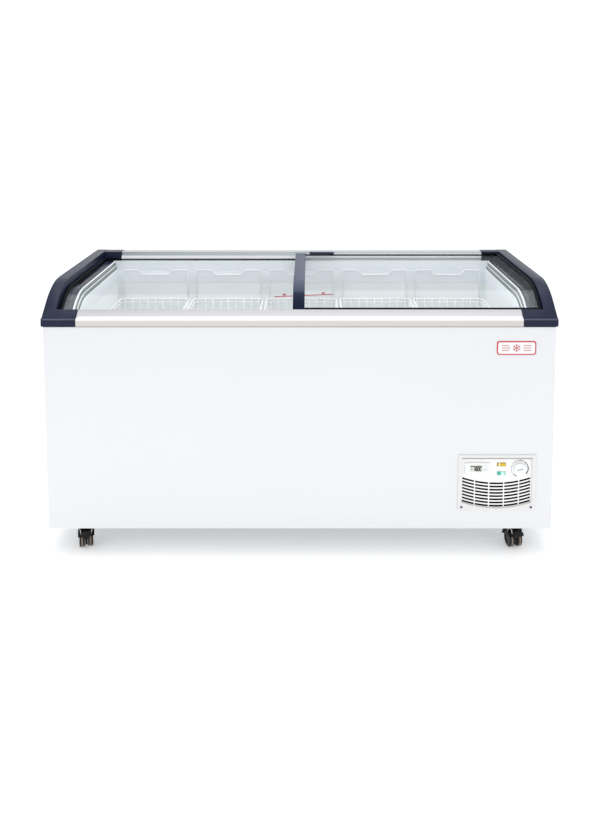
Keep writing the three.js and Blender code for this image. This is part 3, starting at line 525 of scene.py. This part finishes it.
def bar(bm, section, x0, x1):
    """A section in Y and Z, given length along X."""
    left = [bm.verts.new((x0, y, z)) for y, z in section]
    right = [bm.verts.new((x1, y, z)) for y, z in section]
    loft(bm, [right, left])


def rectangle(x0, x1, z0, z1):
    return [(x0, z0), (x1, z0), (x1, z1), (x0, z1)]


def rounded_rectangle(x0, x1, z0, z1, radius, steps=6):
    points = []
    for cx, cz, quarter in ((x1 - radius, z1 - radius, 0), (x0 + radius, z1 - radius, 1),
                            (x0 + radius, z0 + radius, 2), (x1 - radius, z0 + radius, 3)):
        for i in range(steps + 1):
            angle = (quarter + i / steps) * math.pi / 2
            points.append((cx + radius * math.cos(angle), cz + radius * math.sin(angle)))
    return points


# ---------------------------------------------------------------- lids

ARC_STEPS = 40
SLOPE = math.asin((ARC_END_Y - ARC_START_Y) / RIM_RADIUS)
LINE_LENGTH = (ARC_START_Y - CREST_Y) / math.cos(SLOPE)
ARC_LENGTH = RIM_RADIUS * SLOPE
CREST_Z = RIM_TOP - RIM_RADIUS + RIM_RADIUS * math.cos(SLOPE) - LINE_LENGTH * math.sin(SLOPE)
LID_REAR_S = LINE_LENGTH + ARC_LENGTH + REAR_FACE_Y - 0.0015 - ARC_END_Y

GLASS_FRONT_S = 0.0043
GLASS_REAR_S = LID_REAR_S - 0.0021
GLASS_INSET = 0.0033
RIGHT_GLASS_LEFT_X = 0.0053


def rim_point(s, d):
    """Y and Z at a distance s along the rim from the front rail's crest, d below its surface."""
    if s <= LINE_LENGTH:
        return (CREST_Y + s * math.cos(SLOPE) + d * math.sin(SLOPE),
                CREST_Z + s * math.sin(SLOPE) - d * math.cos(SLOPE))
    if s <= LINE_LENGTH + ARC_LENGTH:
        angle = SLOPE - (s - LINE_LENGTH) / RIM_RADIUS
        radius = RIM_RADIUS - d
        return ARC_END_Y - radius * math.sin(angle), RIM_TOP - RIM_RADIUS + radius * math.cos(angle)
    run = s - LINE_LENGTH - ARC_LENGTH
    return ARC_END_Y + run, RIM_TOP + run * RIM_RISE - d


def curved_sheet(bm, s0, s1, d0, d1, x0, x1):
    """A sheet that follows the rim from s0 to s1, between the depths d0 and d1."""
    arc = [LINE_LENGTH + ARC_LENGTH * i / ARC_STEPS for i in range(ARC_STEPS + 1)]
    line = [s0] + [s for s in arc if s0 + 1e-4 < s < s1 - 1e-4] + [s1]
    bar(bm, [rim_point(s, d0) for s in line] + [rim_point(s, d1) for s in reversed(line)], x0, x1)


def make_glass(side, depth, x0, x1, materials):
    """Curved pane, standing for the CAD node of the same lid."""
    bm = bmesh.new()
    top = depth + (LID_T - GLASS_T) / 2
    curved_sheet(bm, GLASS_FRONT_S, GLASS_REAR_S, top, top + GLASS_T, x0, x1)
    piece = add_piece(side + "_glass_sheet", bm, materials["lid_glass"], side + "_lid")
    soften(piece, 0.0006)
    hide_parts(side + "_lid_glass")


def make_rear_trim(side, depth, x0, x1, materials):
    """Bright metal strip over the top of a lid's rear edge."""
    bm = bmesh.new()
    curved_sheet(bm, LID_REAR_S - 0.0080, LID_REAR_S - 0.0006, depth - 0.0004, depth + 0.0021, x0, x1)
    add_piece(side + "_lid_rear_trim", bm, materials["lid_trim"],
              side + "_lid", smooth=False)


def make_lids(materials):
    make_glass("left", LOWER_LID_DEPTH, -LID_END_X + GLASS_INSET, STRIP_RIGHT_X - GLASS_INSET, materials)
    make_glass("right", UPPER_LID_DEPTH, RIGHT_GLASS_LEFT_X, LID_END_X - GLASS_INSET, materials)
    make_rear_trim("left", LOWER_LID_DEPTH, -RAIL_END_X, STRIP_RIGHT_X - 0.002, materials)
    make_rear_trim("right", UPPER_LID_DEPTH, STRIP_RIGHT_X + 0.002, RAIL_END_X, materials)
    refined("left_lid_frame", 0.0006, materials["rubber_seal"])
    refined("right_lid_frame", 0.0006, materials["rubber_seal"])
    refined("right_lid_meeting_strip", 0.0012, materials["meeting_strip"], 3)
    refined("right_lid_grip", 0.0015, materials["slate_plastic"], 3)


# ---------------------------------------------------------------- baskets

HANGER_WIRE = 0.0025
RING_WIRE = 0.0018
FOOT_WIRE = 0.0022
RIB_WIRE = 0.0016
RIB_PITCH = 0.0308
CROSS_RIBS = 11
GRIP_INNER_X = 0.055
GRIP_OUTER_X = 0.066
GRIP_DIP = 0.019


def hanger(bm, wall_y, out, hook_y, top):
    """The raised wire that hangs a basket on the frame, dipped in the middle for the fingers."""
    x = HANGER_HALF
    y = wall_y + out * HANGER_WIRE
    foot = BASKET_RIM - 0.03
    crest = top - HANGER_WIRE
    dip = crest - GRIP_DIP
    wire(bm, rounded_path([
        (-x, y, foot), (-x, y, crest), (-GRIP_OUTER_X, y, crest), (-GRIP_INNER_X, y, dip),
        (GRIP_INNER_X, y, dip), (GRIP_OUTER_X, y, crest), (x, y, crest), (x, y, foot),
    ], 0.008, steps=4), HANGER_WIRE)
    tip_y = hook_y - out * 0.002
    for side in (-1, 1):
        for reach in (0.4, 0.95):
            hook_x = side * x * reach
            hook = [(hook_x, y, crest), (hook_x, tip_y, crest), (hook_x, tip_y, crest - 0.009)]
            wire(bm, rounded_path(hook, 0.003), 0.002)


def basket_ring(bm, half, front, back, z, radius):
    """A wire round the basket at one height."""
    corners = [(-half, front, z), (half, front, z), (half, back, z), (-half, back, z)]
    wire(bm, rounded_path(corners, 0.022, closed=True, steps=5), radius, closed=True)


def basket_mesh():
    """Rings, ribs that run down one wall, across the floor and up the other, and two hangers."""
    bm = bmesh.new()
    half = BASKET_HALF - HANGER_WIRE
    front, back = BASKET_FRONT_Y + HANGER_WIRE, BASKET_BACK_Y - HANGER_WIRE
    foot = half - 0.006
    top, low = BASKET_RIM - HANGER_WIRE, BASKET_FLOOR + 0.002
    for z, inset, radius in ((top, 0.0, HANGER_WIRE), (top - 0.014, 0.001, RING_WIRE),
                             (low + 0.13, 0.004, RING_WIRE), (low + 0.065, 0.005, RING_WIRE),
                             (low + 0.004, 0.006, FOOT_WIRE)):
        basket_ring(bm, half - inset, front + inset, back - inset, z, radius)
    for i in range(-4, 5):
        x = i * RIB_PITCH
        rib = [(x, front + 0.003, top), (x, front + 0.008, low),
               (x, back - 0.008, low), (x, back - 0.003, top)]
        wire(bm, rounded_path(rib, 0.012), RIB_WIRE, sides=6)
    for i in range(CROSS_RIBS):
        y = front + 0.04 + i * (back - front - 0.08) / (CROSS_RIBS - 1)
        rib = [(-half + 0.003, y, top), (-foot, y, low + 0.003),
               (foot, y, low + 0.003), (half - 0.003, y, top)]
        wire(bm, rounded_path(rib, 0.012), RIB_WIRE, sides=6)
    hanger(bm, BASKET_BACK_Y, 1, REAR_HOOK_Y, REAR_HANGER_TOP)
    hanger(bm, BASKET_FRONT_Y, -1, FRONT_HOOK_Y, FRONT_HANGER_TOP)
    return bm


def make_baskets(materials):
    for i in range(BASKET_COUNT):
        node = f"basket_{i + 1}"
        bm = basket_mesh()
        bmesh.ops.translate(bm, verts=bm.verts, vec=((i - 2) * BASKET_PITCH, 0.0, 0.0))
        piece = add_piece(f"basket_wires_{i + 1}", bm, materials["basket_wire"], node)
        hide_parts(node)


# ---------------------------------------------------------------- badge

BADGE_BORDER = 0.004
PRINT_WIRE = 0.0010
CRYSTAL_REACH = 0.0135
CRYSTAL_FORK = 0.0075
BRANCH_LENGTH = 0.0048
BRANCH_TURN = 0.9
BAR_PITCH = 0.008
BAR_END_X = 0.048


def draw_snow_crystal(bm, cx, y, cz):
    """Three crossed lines, each with a pair of branches near both ends."""
    for k in range(3):
        angle = k * math.pi / 3 + math.pi / 6
        dx, dz = math.cos(angle), math.sin(angle)
        wire(bm, [(cx - dx * CRYSTAL_REACH, y, cz - dz * CRYSTAL_REACH),
                  (cx + dx * CRYSTAL_REACH, y, cz + dz * CRYSTAL_REACH)], PRINT_WIRE, sides=6)
        for sign in (-1, 1):
            root = Vector((cx + sign * dx * CRYSTAL_FORK, y, cz + sign * dz * CRYSTAL_FORK))
            for turn in (-BRANCH_TURN, BRANCH_TURN):
                direction = Vector((math.cos(angle + turn), 0.0, math.sin(angle + turn)))
                wire(bm, [root, root + direction * sign * BRANCH_LENGTH], 0.0008, sides=6)


def draw_badge_bars(bm, cx, y, cz):
    """Three level bars on each side of the crystal, the middle one starting nearest to it."""
    for side in (-1, 1):
        for row in (-1, 0, 1):
            z = cz + row * BAR_PITCH
            inner = 0.021 + 0.003 * abs(row)
            wire(bm, [(cx + side * inner, y, z), (cx + side * BAR_END_X, y, z)], PRINT_WIRE, sides=6)


def make_badge(materials):
    """A red plate with a white field, and on it a snow crystal between bars."""
    refined("badge_plate", 0.0006, materials["badge_face"], 3)
    face_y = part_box("badge_plate")[0].y
    field = bmesh.new()
    plate(field, rounded_rectangle(BADGE_LEFT_X + BADGE_BORDER, BADGE_RIGHT_X - BADGE_BORDER,
                                   BADGE_BOTTOM + BADGE_BORDER, BADGE_TOP - BADGE_BORDER, 0.006),
          face_y - 0.0003, face_y + 0.0004)
    add_piece("badge_field", field, materials["white_enamel"], "cabinet", smooth=False)
    crystal = bmesh.new()
    centre = ((BADGE_LEFT_X + BADGE_RIGHT_X) / 2, face_y - 0.0004, (BADGE_BOTTOM + BADGE_TOP) / 2)
    draw_snow_crystal(crystal, *centre)
    draw_badge_bars(crystal, *centre)
    add_piece("badge_crystal", crystal, materials["badge_face"], "cabinet")


# ---------------------------------------------------------------- control panel

SEGMENTS = {
    "a": ((-1, 2), (1, 2)), "b": ((1, 2), (1, 0)), "c": ((1, 0), (1, -2)), "d": ((-1, -2), (1, -2)),
    "e": ((-1, 0), (-1, -2)), "f": ((-1, 2), (-1, 0)), "g": ((-1, 0), (1, 0)),
}
DIGITS = {"-": "g", "1": "bc", "8": "abcdefg", "0": "abcdef", "C": "adef"}
SEGMENT_X = 0.0023
SEGMENT_Z = 0.0027

DIAL_RADIUS = 0.0280
DIAL_START = math.radians(250)
DIAL_END = math.radians(-40)
DIAL_STEPS = 48
DIAL_TICKS = 8
TICK_INNER = 0.0292
TICK_OUTER = 0.0310
TICK_HALF = 0.0004

KNOB_RIBS = 40
KNOB_GRIP_RADIUS = 0.02
KNOB_GROOVE = 0.0005
KNOB_PROFILE = [(0.0, -0.0094), (0.0169, -0.0094), (0.0197, -0.0088), (0.0210, -0.0072), (0.0214, -0.0010),
                (0.0214, -0.0004), (0.0036, -0.0004), (0.0036, -0.0050), (0.0, -0.0050)]
POINTER_TURN = math.radians(16)
POINTER_OUTLINE = [(-0.0095, -0.0009), (0.008, -0.0009), (0.0105, 0.0), (0.008, 0.0009), (-0.0095, 0.0009)]


def make_readout(materials):
    """Seven-segment temperature on the liquid crystal window, over a row of small bars."""
    low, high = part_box("display_window")
    y = low.y - 0.0002
    width = high.x - low.x
    cz = low.z + 0.0072
    bm = bmesh.new()
    for index, character in enumerate("-180C"):
        cx = low.x + width * (0.15 + 0.175 * index)
        for name in DIGITS[character]:
            (ax, az), (bx, bz) = SEGMENTS[name]
            a = Vector((cx + ax * SEGMENT_X, y, cz + az * SEGMENT_Z))
            b = Vector((cx + bx * SEGMENT_X, y, cz + bz * SEGMENT_Z))
            wire(bm, [a.lerp(b, 0.02), a.lerp(b, 0.98)], 0.0014, sides=4)
    for index in range(7):
        x = low.x + width * (0.12 + 0.125 * index)
        plate(bm, rectangle(x - 0.0021, x + 0.0021, high.z - 0.0062, high.z - 0.0022), y - 0.0002, y + 0.0002)
    add_piece("readout_segments", bm, materials["black_ink"], "cabinet", smooth=False)


def knob_point(along, across, angle):
    """X and Z of a point along and across a line that leaves the knob's axis at an angle."""
    return (KNOB_X + along * math.cos(angle) - across * math.sin(angle),
            KNOB_Z + along * math.sin(angle) + across * math.cos(angle))


def make_dial_scale(materials):
    """Printed scale round the thermostat knob: a thick dash, a line that grows thicker, and ticks."""
    near, far = PLATE_Y - 0.0003, PLATE_Y + 0.0004
    outer, inner = [], []
    for i in range(DIAL_STEPS + 1):
        t = i / DIAL_STEPS
        angle = DIAL_START + t * (DIAL_END - DIAL_START)
        half = 0.0012 if t < 0.09 else 0.0003 + 0.0015 * t ** 2
        outer.append(knob_point(DIAL_RADIUS + half, 0.0, angle))
        inner.append(knob_point(DIAL_RADIUS - half, 0.0, angle))
    bm = bmesh.new()
    for i in range(DIAL_STEPS):
        plate(bm, [outer[i], outer[i + 1], inner[i + 1], inner[i]], near, far)
    for i in range(DIAL_TICKS):
        angle = DIAL_START + i / (DIAL_TICKS - 1) * (DIAL_END - DIAL_START)
        corners = ((TICK_INNER, TICK_HALF), (TICK_OUTER, TICK_HALF),
                   (TICK_OUTER, -TICK_HALF), (TICK_INNER, -TICK_HALF))
        plate(bm, [knob_point(along, across, angle) for along, across in corners], near, far)
    add_piece("dial_scale", bm, materials["dial_ink"], "cabinet", smooth=False)


def make_knob_cap(materials):
    """A hollow round cap with a ribbed edge for the fingers, turned from its profile."""
    bm = bmesh.new()
    count = KNOB_RIBS * 4
    rings = []
    for radius, y in KNOB_PROFILE:
        if radius == 0.0:
            rings.append([bm.verts.new((KNOB_X, PLATE_Y + y, KNOB_Z))])
            continue
        ring = []
        for k, angle in enumerate(turns(count)):
            grooved = radius > KNOB_GRIP_RADIUS and k % 4 == 0
            x, z = knob_point(radius - KNOB_GROOVE if grooved else radius, 0.0, angle)
            ring.append(bm.verts.new((x, PLATE_Y + y, z)))
        rings.append(ring)
    for a, b in zip(rings, rings[1:]):
        for k in range(count):
            n = (k + 1) % count
            if len(a) == 1:
                bm.faces.new((a[0], b[k], b[n]))
            elif len(b) == 1:
                bm.faces.new((a[k], b[0], a[n]))
            else:
                bm.faces.new((a[k], b[k], b[n], a[n]))
    piece = add_piece("knob_cap", bm, materials["white_plastic"], "thermostat_knob")
    soften(piece, 0.0003)
    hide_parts("thermostat_knob")


def make_knob_pointer(materials):
    """A raised arrow across the cap."""
    bm = bmesh.new()
    outline = [knob_point(along, across, POINTER_TURN) for along, across in POINTER_OUTLINE]
    plate(bm, outline, PLATE_Y - 0.0104, PLATE_Y - 0.0092)
    add_piece("knob_pointer", bm, materials["grey_ink"], "thermostat_knob", smooth=False)


def make_recess_cove(materials):
    """Sloping underside along the top of the panel's recess, in grey plastic that paints the shade falling
    there.
    """
    bm = bmesh.new()
    top = RECESS_TOP - 0.0002
    near, far = PLATE_Y - 0.0088, PLATE_Y - 0.0002
    section = [(near, top), (far, top), (far, top - 0.0085), (PLATE_Y - 0.0016, top - 0.0068)]
    bar(bm, section, RECESS_LEFT_X + 0.0003, RECESS_RIGHT_X - 0.0003)
    add_piece("recess_cove", bm, materials["painted_shade_plastic"], "cabinet", smooth=False)


def make_shade_sheet(materials):
    """Painted shade: a black sheet behind the louvres, so that the slots look dark."""
    bm = bmesh.new()
    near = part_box("grille_panel")[1].y + 0.0004
    outline = rounded_rectangle(RECESS_LEFT_X, RECESS_RIGHT_X, SHADE_SHEET_BOTTOM, SHADE_SHEET_TOP, 0.004)
    plate(bm, outline, near, near + 0.0012)
    add_piece("shade_sheet", bm, materials["painted_shade_mat"], "cabinet", smooth=False)


def make_control_panel(materials):
    make_recess_cove(materials)
    make_shade_sheet(materials)
    refined("grille_panel", 0.0004, materials["panel_plastic"])
    refined("display_case", 0.0008, materials["white_plastic"], 3)
    refined("display_window", 0.0002, materials["display_glass"])
    refined("display_button_upper", 0.0005, materials["white_plastic"], 3)
    refined("display_button_lower", 0.0005, materials["white_plastic"], 3)
    refined("rocker_switch", 0.0006, materials["amber_lens"], 3)
    refined("power_lamp", 0.0008, materials["green_lens"], 3)
    make_readout(materials)
    make_dial_scale(materials)
    make_knob_cap(materials)
    make_knob_pointer(materials)
    for node in ("grille_screw_left", "grille_screw_right"):
        refined(node, 0.0007, materials["blue_screw"], 3)


# ---------------------------------------------------------------- casters

RACE_RADIUS = 0.0195
RACE_WIRE = 0.0022
# Reach and radius of the painted highlight bands on the treads.
HIGHLIGHT_INNER_X = 0.0115
HIGHLIGHT_OUTER_X = 0.0160
HIGHLIGHT_RADIUS = WHEEL_RADIUS + 0.0001
CLIP_LINE = [(0.0155, 0.046, 0.052), (0.0175, 0.050, 0.060), (0.0185, 0.048, 0.070),
             (0.0215, 0.042, 0.0745), (0.0255, 0.036, 0.070), (0.0262, 0.033, 0.060)]


def swivel_axis(corner):
    """X and Y of the upright line that a caster turns about."""
    low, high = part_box(corner + "_caster_plate")
    return (low.x + high.x) / 2, (low.y + high.y) / 2


def caster_point(corner, x, y, z):
    """A point drawn beside the swivel axis, with the wheels trailing towards +Y, put in its place."""
    cx, cy = swivel_axis(corner)
    turn = math.radians(CASTER_TURNS[corner])
    return Vector((cx + x * math.cos(turn) - y * math.sin(turn),
                   cy + x * math.sin(turn) + y * math.cos(turn), z))


def make_swivel_race(corner, materials):
    """Bright ring between a caster's plate and its fork."""
    bm = bmesh.new()
    cx, cy = swivel_axis(corner)
    ring = [(cx + RACE_RADIUS * math.cos(angle), cy + RACE_RADIUS * math.sin(angle), BASE - 0.0125)
            for angle in turns(36)]
    wire(bm, ring, RACE_WIRE, closed=True)
    add_piece(corner + "_swivel_race", bm, materials["chrome"], "cabinet")


def make_tread_painted_highlight(corner, materials):
    """Painted highlight: a light brown band round the middle of each tread, where light glints off it."""
    bm = bmesh.new()
    inner_radius = HIGHLIGHT_RADIUS - 0.0004
    section = ((HIGHLIGHT_INNER_X, HIGHLIGHT_RADIUS), (HIGHLIGHT_OUTER_X, HIGHLIGHT_RADIUS),
               (HIGHLIGHT_OUTER_X, inner_radius), (HIGHLIGHT_INNER_X, inner_radius))
    for side in (-1, 1):
        rings = []
        for angle in turns(40):
            rings.append([bm.verts.new(caster_point(corner, side * x, WHEEL_TRAIL + radius * math.cos(angle),
                                                    WHEEL_RADIUS + radius * math.sin(angle)))
                          for x, radius in section])
        loft(bm, rings, closed=True)
    add_piece(corner + "_tread_painted_highlight", bm, materials["painted_tread_glint"], corner + "_wheels")


def make_brake_clips(corner, materials):
    """Bright spring wires beside the brake pedal."""
    bm = bmesh.new()
    for side in (-1, 1):
        points = [caster_point(corner, side * x, y, z) for x, y, z in CLIP_LINE]
        wire(bm, rounded_path(points, 0.006), 0.0012)
    add_piece(corner + "_brake_clips", bm, materials["chrome"], corner + "_swivel")


def make_casters(materials):
    for corner in CASTER_TURNS:
        refined(corner + "_caster_plate", 0.0006, materials["black_steel"])
        refined(corner + "_caster_fork", 0.0010, materials["black_plastic"])
        refined(corner + "_caster_wheels", 0.0012, materials["wheel_tread"], 3)
        make_swivel_race(corner, materials)
        make_tread_painted_highlight(corner, materials)
    for corner in ("front_left", "front_right"):
        refined(corner + "_brake_pedal", 0.0010, materials["black_plastic"], 3)
        make_brake_clips(corner, materials)


# ---------------------------------------------------------------- cabinet

MOULDING_FRONT_S = 0.062
MOULDING_REAR_S = LID_REAR_S - 0.004
MOULDING_STEPS = 40
MOULDING_ACROSS = 8

# The X of each side step's face, then the depths of its top and bottom below the ledge.
BREAKER_STEPS = ((0.7530, 0.0035, 0.0155), (0.7475, 0.0175, 0.0295))
BREAKER_FRONT_S = 0.030
BREAKER_REAR_S = LID_REAR_S - 0.012

# The depths of the foot and the top of each band of painted light below the top of the rear rail.
PAINTED_LIGHT_BANDS = ((0.0236, 0.0156), (0.0358, 0.0336))

SCREW_INSET = 0.018
SCREW_SIDE_X = 0.818
SCREW_SIDES = 12
SCREW_PROFILE = [(0.0048, 0.0), (0.0046, 0.0009), (0.0036, 0.0019), (0.0018, 0.0024), (0.0010, 0.0012)]


def make_ledge_moulding(name, side, materials):
    """Lens-shaped ridge moulded along the ledge inside an end cap."""
    bm = bmesh.new()
    rows = []
    for i in range(MOULDING_STEPS + 1):
        t = i / MOULDING_STEPS
        s = MOULDING_FRONT_S + t * (MOULDING_REAR_S - MOULDING_FRONT_S)
        swell = math.sin(math.pi * min(1.0, 0.08 + t * 0.92) ** 0.8) ** 0.55 if i < MOULDING_STEPS else 0.35
        half_width = 0.0003 + 0.0100 * swell
        mid_x = 0.7765 - 0.004 * t
        row = []
        for k in range(MOULDING_ACROSS + 1):
            u = -1.0 + 2.0 * k / MOULDING_ACROSS
            y, z = rim_point(s, LEDGE_DEPTH - 0.0022 * (1.0 - u * u) * swell)
            row.append(bm.verts.new((side * (mid_x + u * half_width), y, z)))
        y, z = rim_point(s, LEDGE_DEPTH + 0.001)
        row.append(bm.verts.new((side * (mid_x + half_width), y, z)))
        row.append(bm.verts.new((side * (mid_x - half_width), y, z)))
        rows.append(row)
    loft(bm, rows)
    add_piece(name + "_ledge_moulding", bm, materials["ledge_gloss"], "cabinet")


def make_breaker_reflections_and_seals(name, side, materials):
    """Painted reflections on the breaker frame's steps, as mottled grey-green faces, with dark sealing strips
    in their corners.
    """
    painted_reflections = bmesh.new()
    seals = bmesh.new()
    for face_x, top, bottom in BREAKER_STEPS:
        foot = LEDGE_DEPTH + bottom
        x0, x1 = sorted((side * (face_x - 0.0003), side * (face_x + 0.0002)))
        curved_sheet(painted_reflections, BREAKER_FRONT_S, BREAKER_REAR_S, LEDGE_DEPTH + top, foot, x0, x1)
        x0, x1 = sorted((side * (face_x - 0.0020), side * (face_x - 0.0002)))
        curved_sheet(seals, BREAKER_FRONT_S, BREAKER_REAR_S, foot - 0.0008, foot + 0.0007, x0, x1)
    add_piece(name + "_breaker_facings", painted_reflections, materials["step_painted_reflection"],
              "cabinet", smooth=False)
    add_piece(name + "_breaker_seals", seals, materials["rubber_seal"],
              "cabinet", smooth=False)


def make_lip_bead(name, side, materials):
    """Rounded bead along the front lip of an end cap, in slate painted paler than the cap's as a highlight,
    over the real highlight its gloss catches.
    """
    bm = bmesh.new()
    y, z = FRONT_Y + 0.0034, LIP_TOP + 0.0018
    x0, x1 = sorted((side * (RAIL_END_X + 0.001), side * (SIDE_X - 0.003)))
    wire(bm, [(x0, y, z), (x1, y, z)], 0.0036, sides=16)
    piece = add_piece(name + "_lip_bead", bm, materials["bead_painted_highlight"], "cabinet")
    soften(piece, 0.0008)


def make_rail_painted_light(materials):
    """Painted light: pale strips on the rear rail's step and on its lower rib, in front of which the lids
    run, brightening faces that lie in shade.
    """
    bm = bmesh.new()
    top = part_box("rear_rail")[1].z - 0.0005
    face = REAR_FACE_Y - 0.0060
    for low, high in PAINTED_LIGHT_BANDS:
        plate(bm, rectangle(-RAIL_END_X, RAIL_END_X, top - low, top - high), face - 0.0004, face + 0.0002)
    add_piece("rear_rail_painted_light", bm, materials["rail_painted_light"], "cabinet", smooth=False)


def make_panel_screws(materials):
    """Pan-head screws round the edge of the back panel."""
    low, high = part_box("back_panel")
    places = [(x / 10, z) for x in range(-8, 9, 2) for z in (low.z + SCREW_INSET, high.z - SCREW_INSET)]
    places += [(x, low.z + h) for x in (-SCREW_SIDE_X, SCREW_SIDE_X) for h in (0.2, 0.36, 0.52)]
    bm = bmesh.new()
    for x, z in places:
        rings = []
        for radius, rise in SCREW_PROFILE:
            y = high.y - 0.0002 + rise
            rings.append([bm.verts.new((x + radius * math.cos(angle), y, z + radius * math.sin(angle)))
                          for angle in turns(SCREW_SIDES)])
        loft(bm, rings)
    add_piece("back_panel_screws", bm, materials["galvanised"], "cabinet")


def make_cabinet(materials):
    for name, side in SIDES.items():
        make_ledge_moulding(name, side, materials)
        make_breaker_reflections_and_seals(name, side, materials)
        make_lip_bead(name, side, materials)
    make_panel_screws(materials)
    refined("back_panel", 0.0004, materials["white_paint"])
    refined("outer_shell", 0.0010, materials["white_paint"], 3)
    refined("front_rail", 0.0010, materials["front_rail"], 3)
    refined("rear_rail", 0.0008, materials["rail_aluminium"])
    refined("breaker_frame", 0.0008, materials["breaker_plastic"])
    refined("inner_liner", 0.0009, materials["liner_sheet"])
    make_rail_painted_light(materials)
    for name in SIDES:
        refined(name + "_end_cap", 0.0018, materials["slate_plastic"], 3)
        refined(name + "_end_gasket", 0.0008, materials["rubber_seal"])


# ---------------------------------------------------------------- the whole freezer


def dress_cad_nodes(materials):
    """Every CAD node gets the finish of its slot, also those that a finer piece replaces."""
    for part in frame["record"]["subparts"]:
        mesh = frame["nodes"][part["node"]].data
        mesh.materials.clear()
        mesh.materials.append(materials[part["material_slot"]])


make_camera()
make_studio()
finishes = make_materials()
dress_cad_nodes(finishes)
make_cabinet(finishes)
make_lids(finishes)
make_baskets(finishes)
make_badge(finishes)
make_control_panel(finishes)
make_casters(finishes)
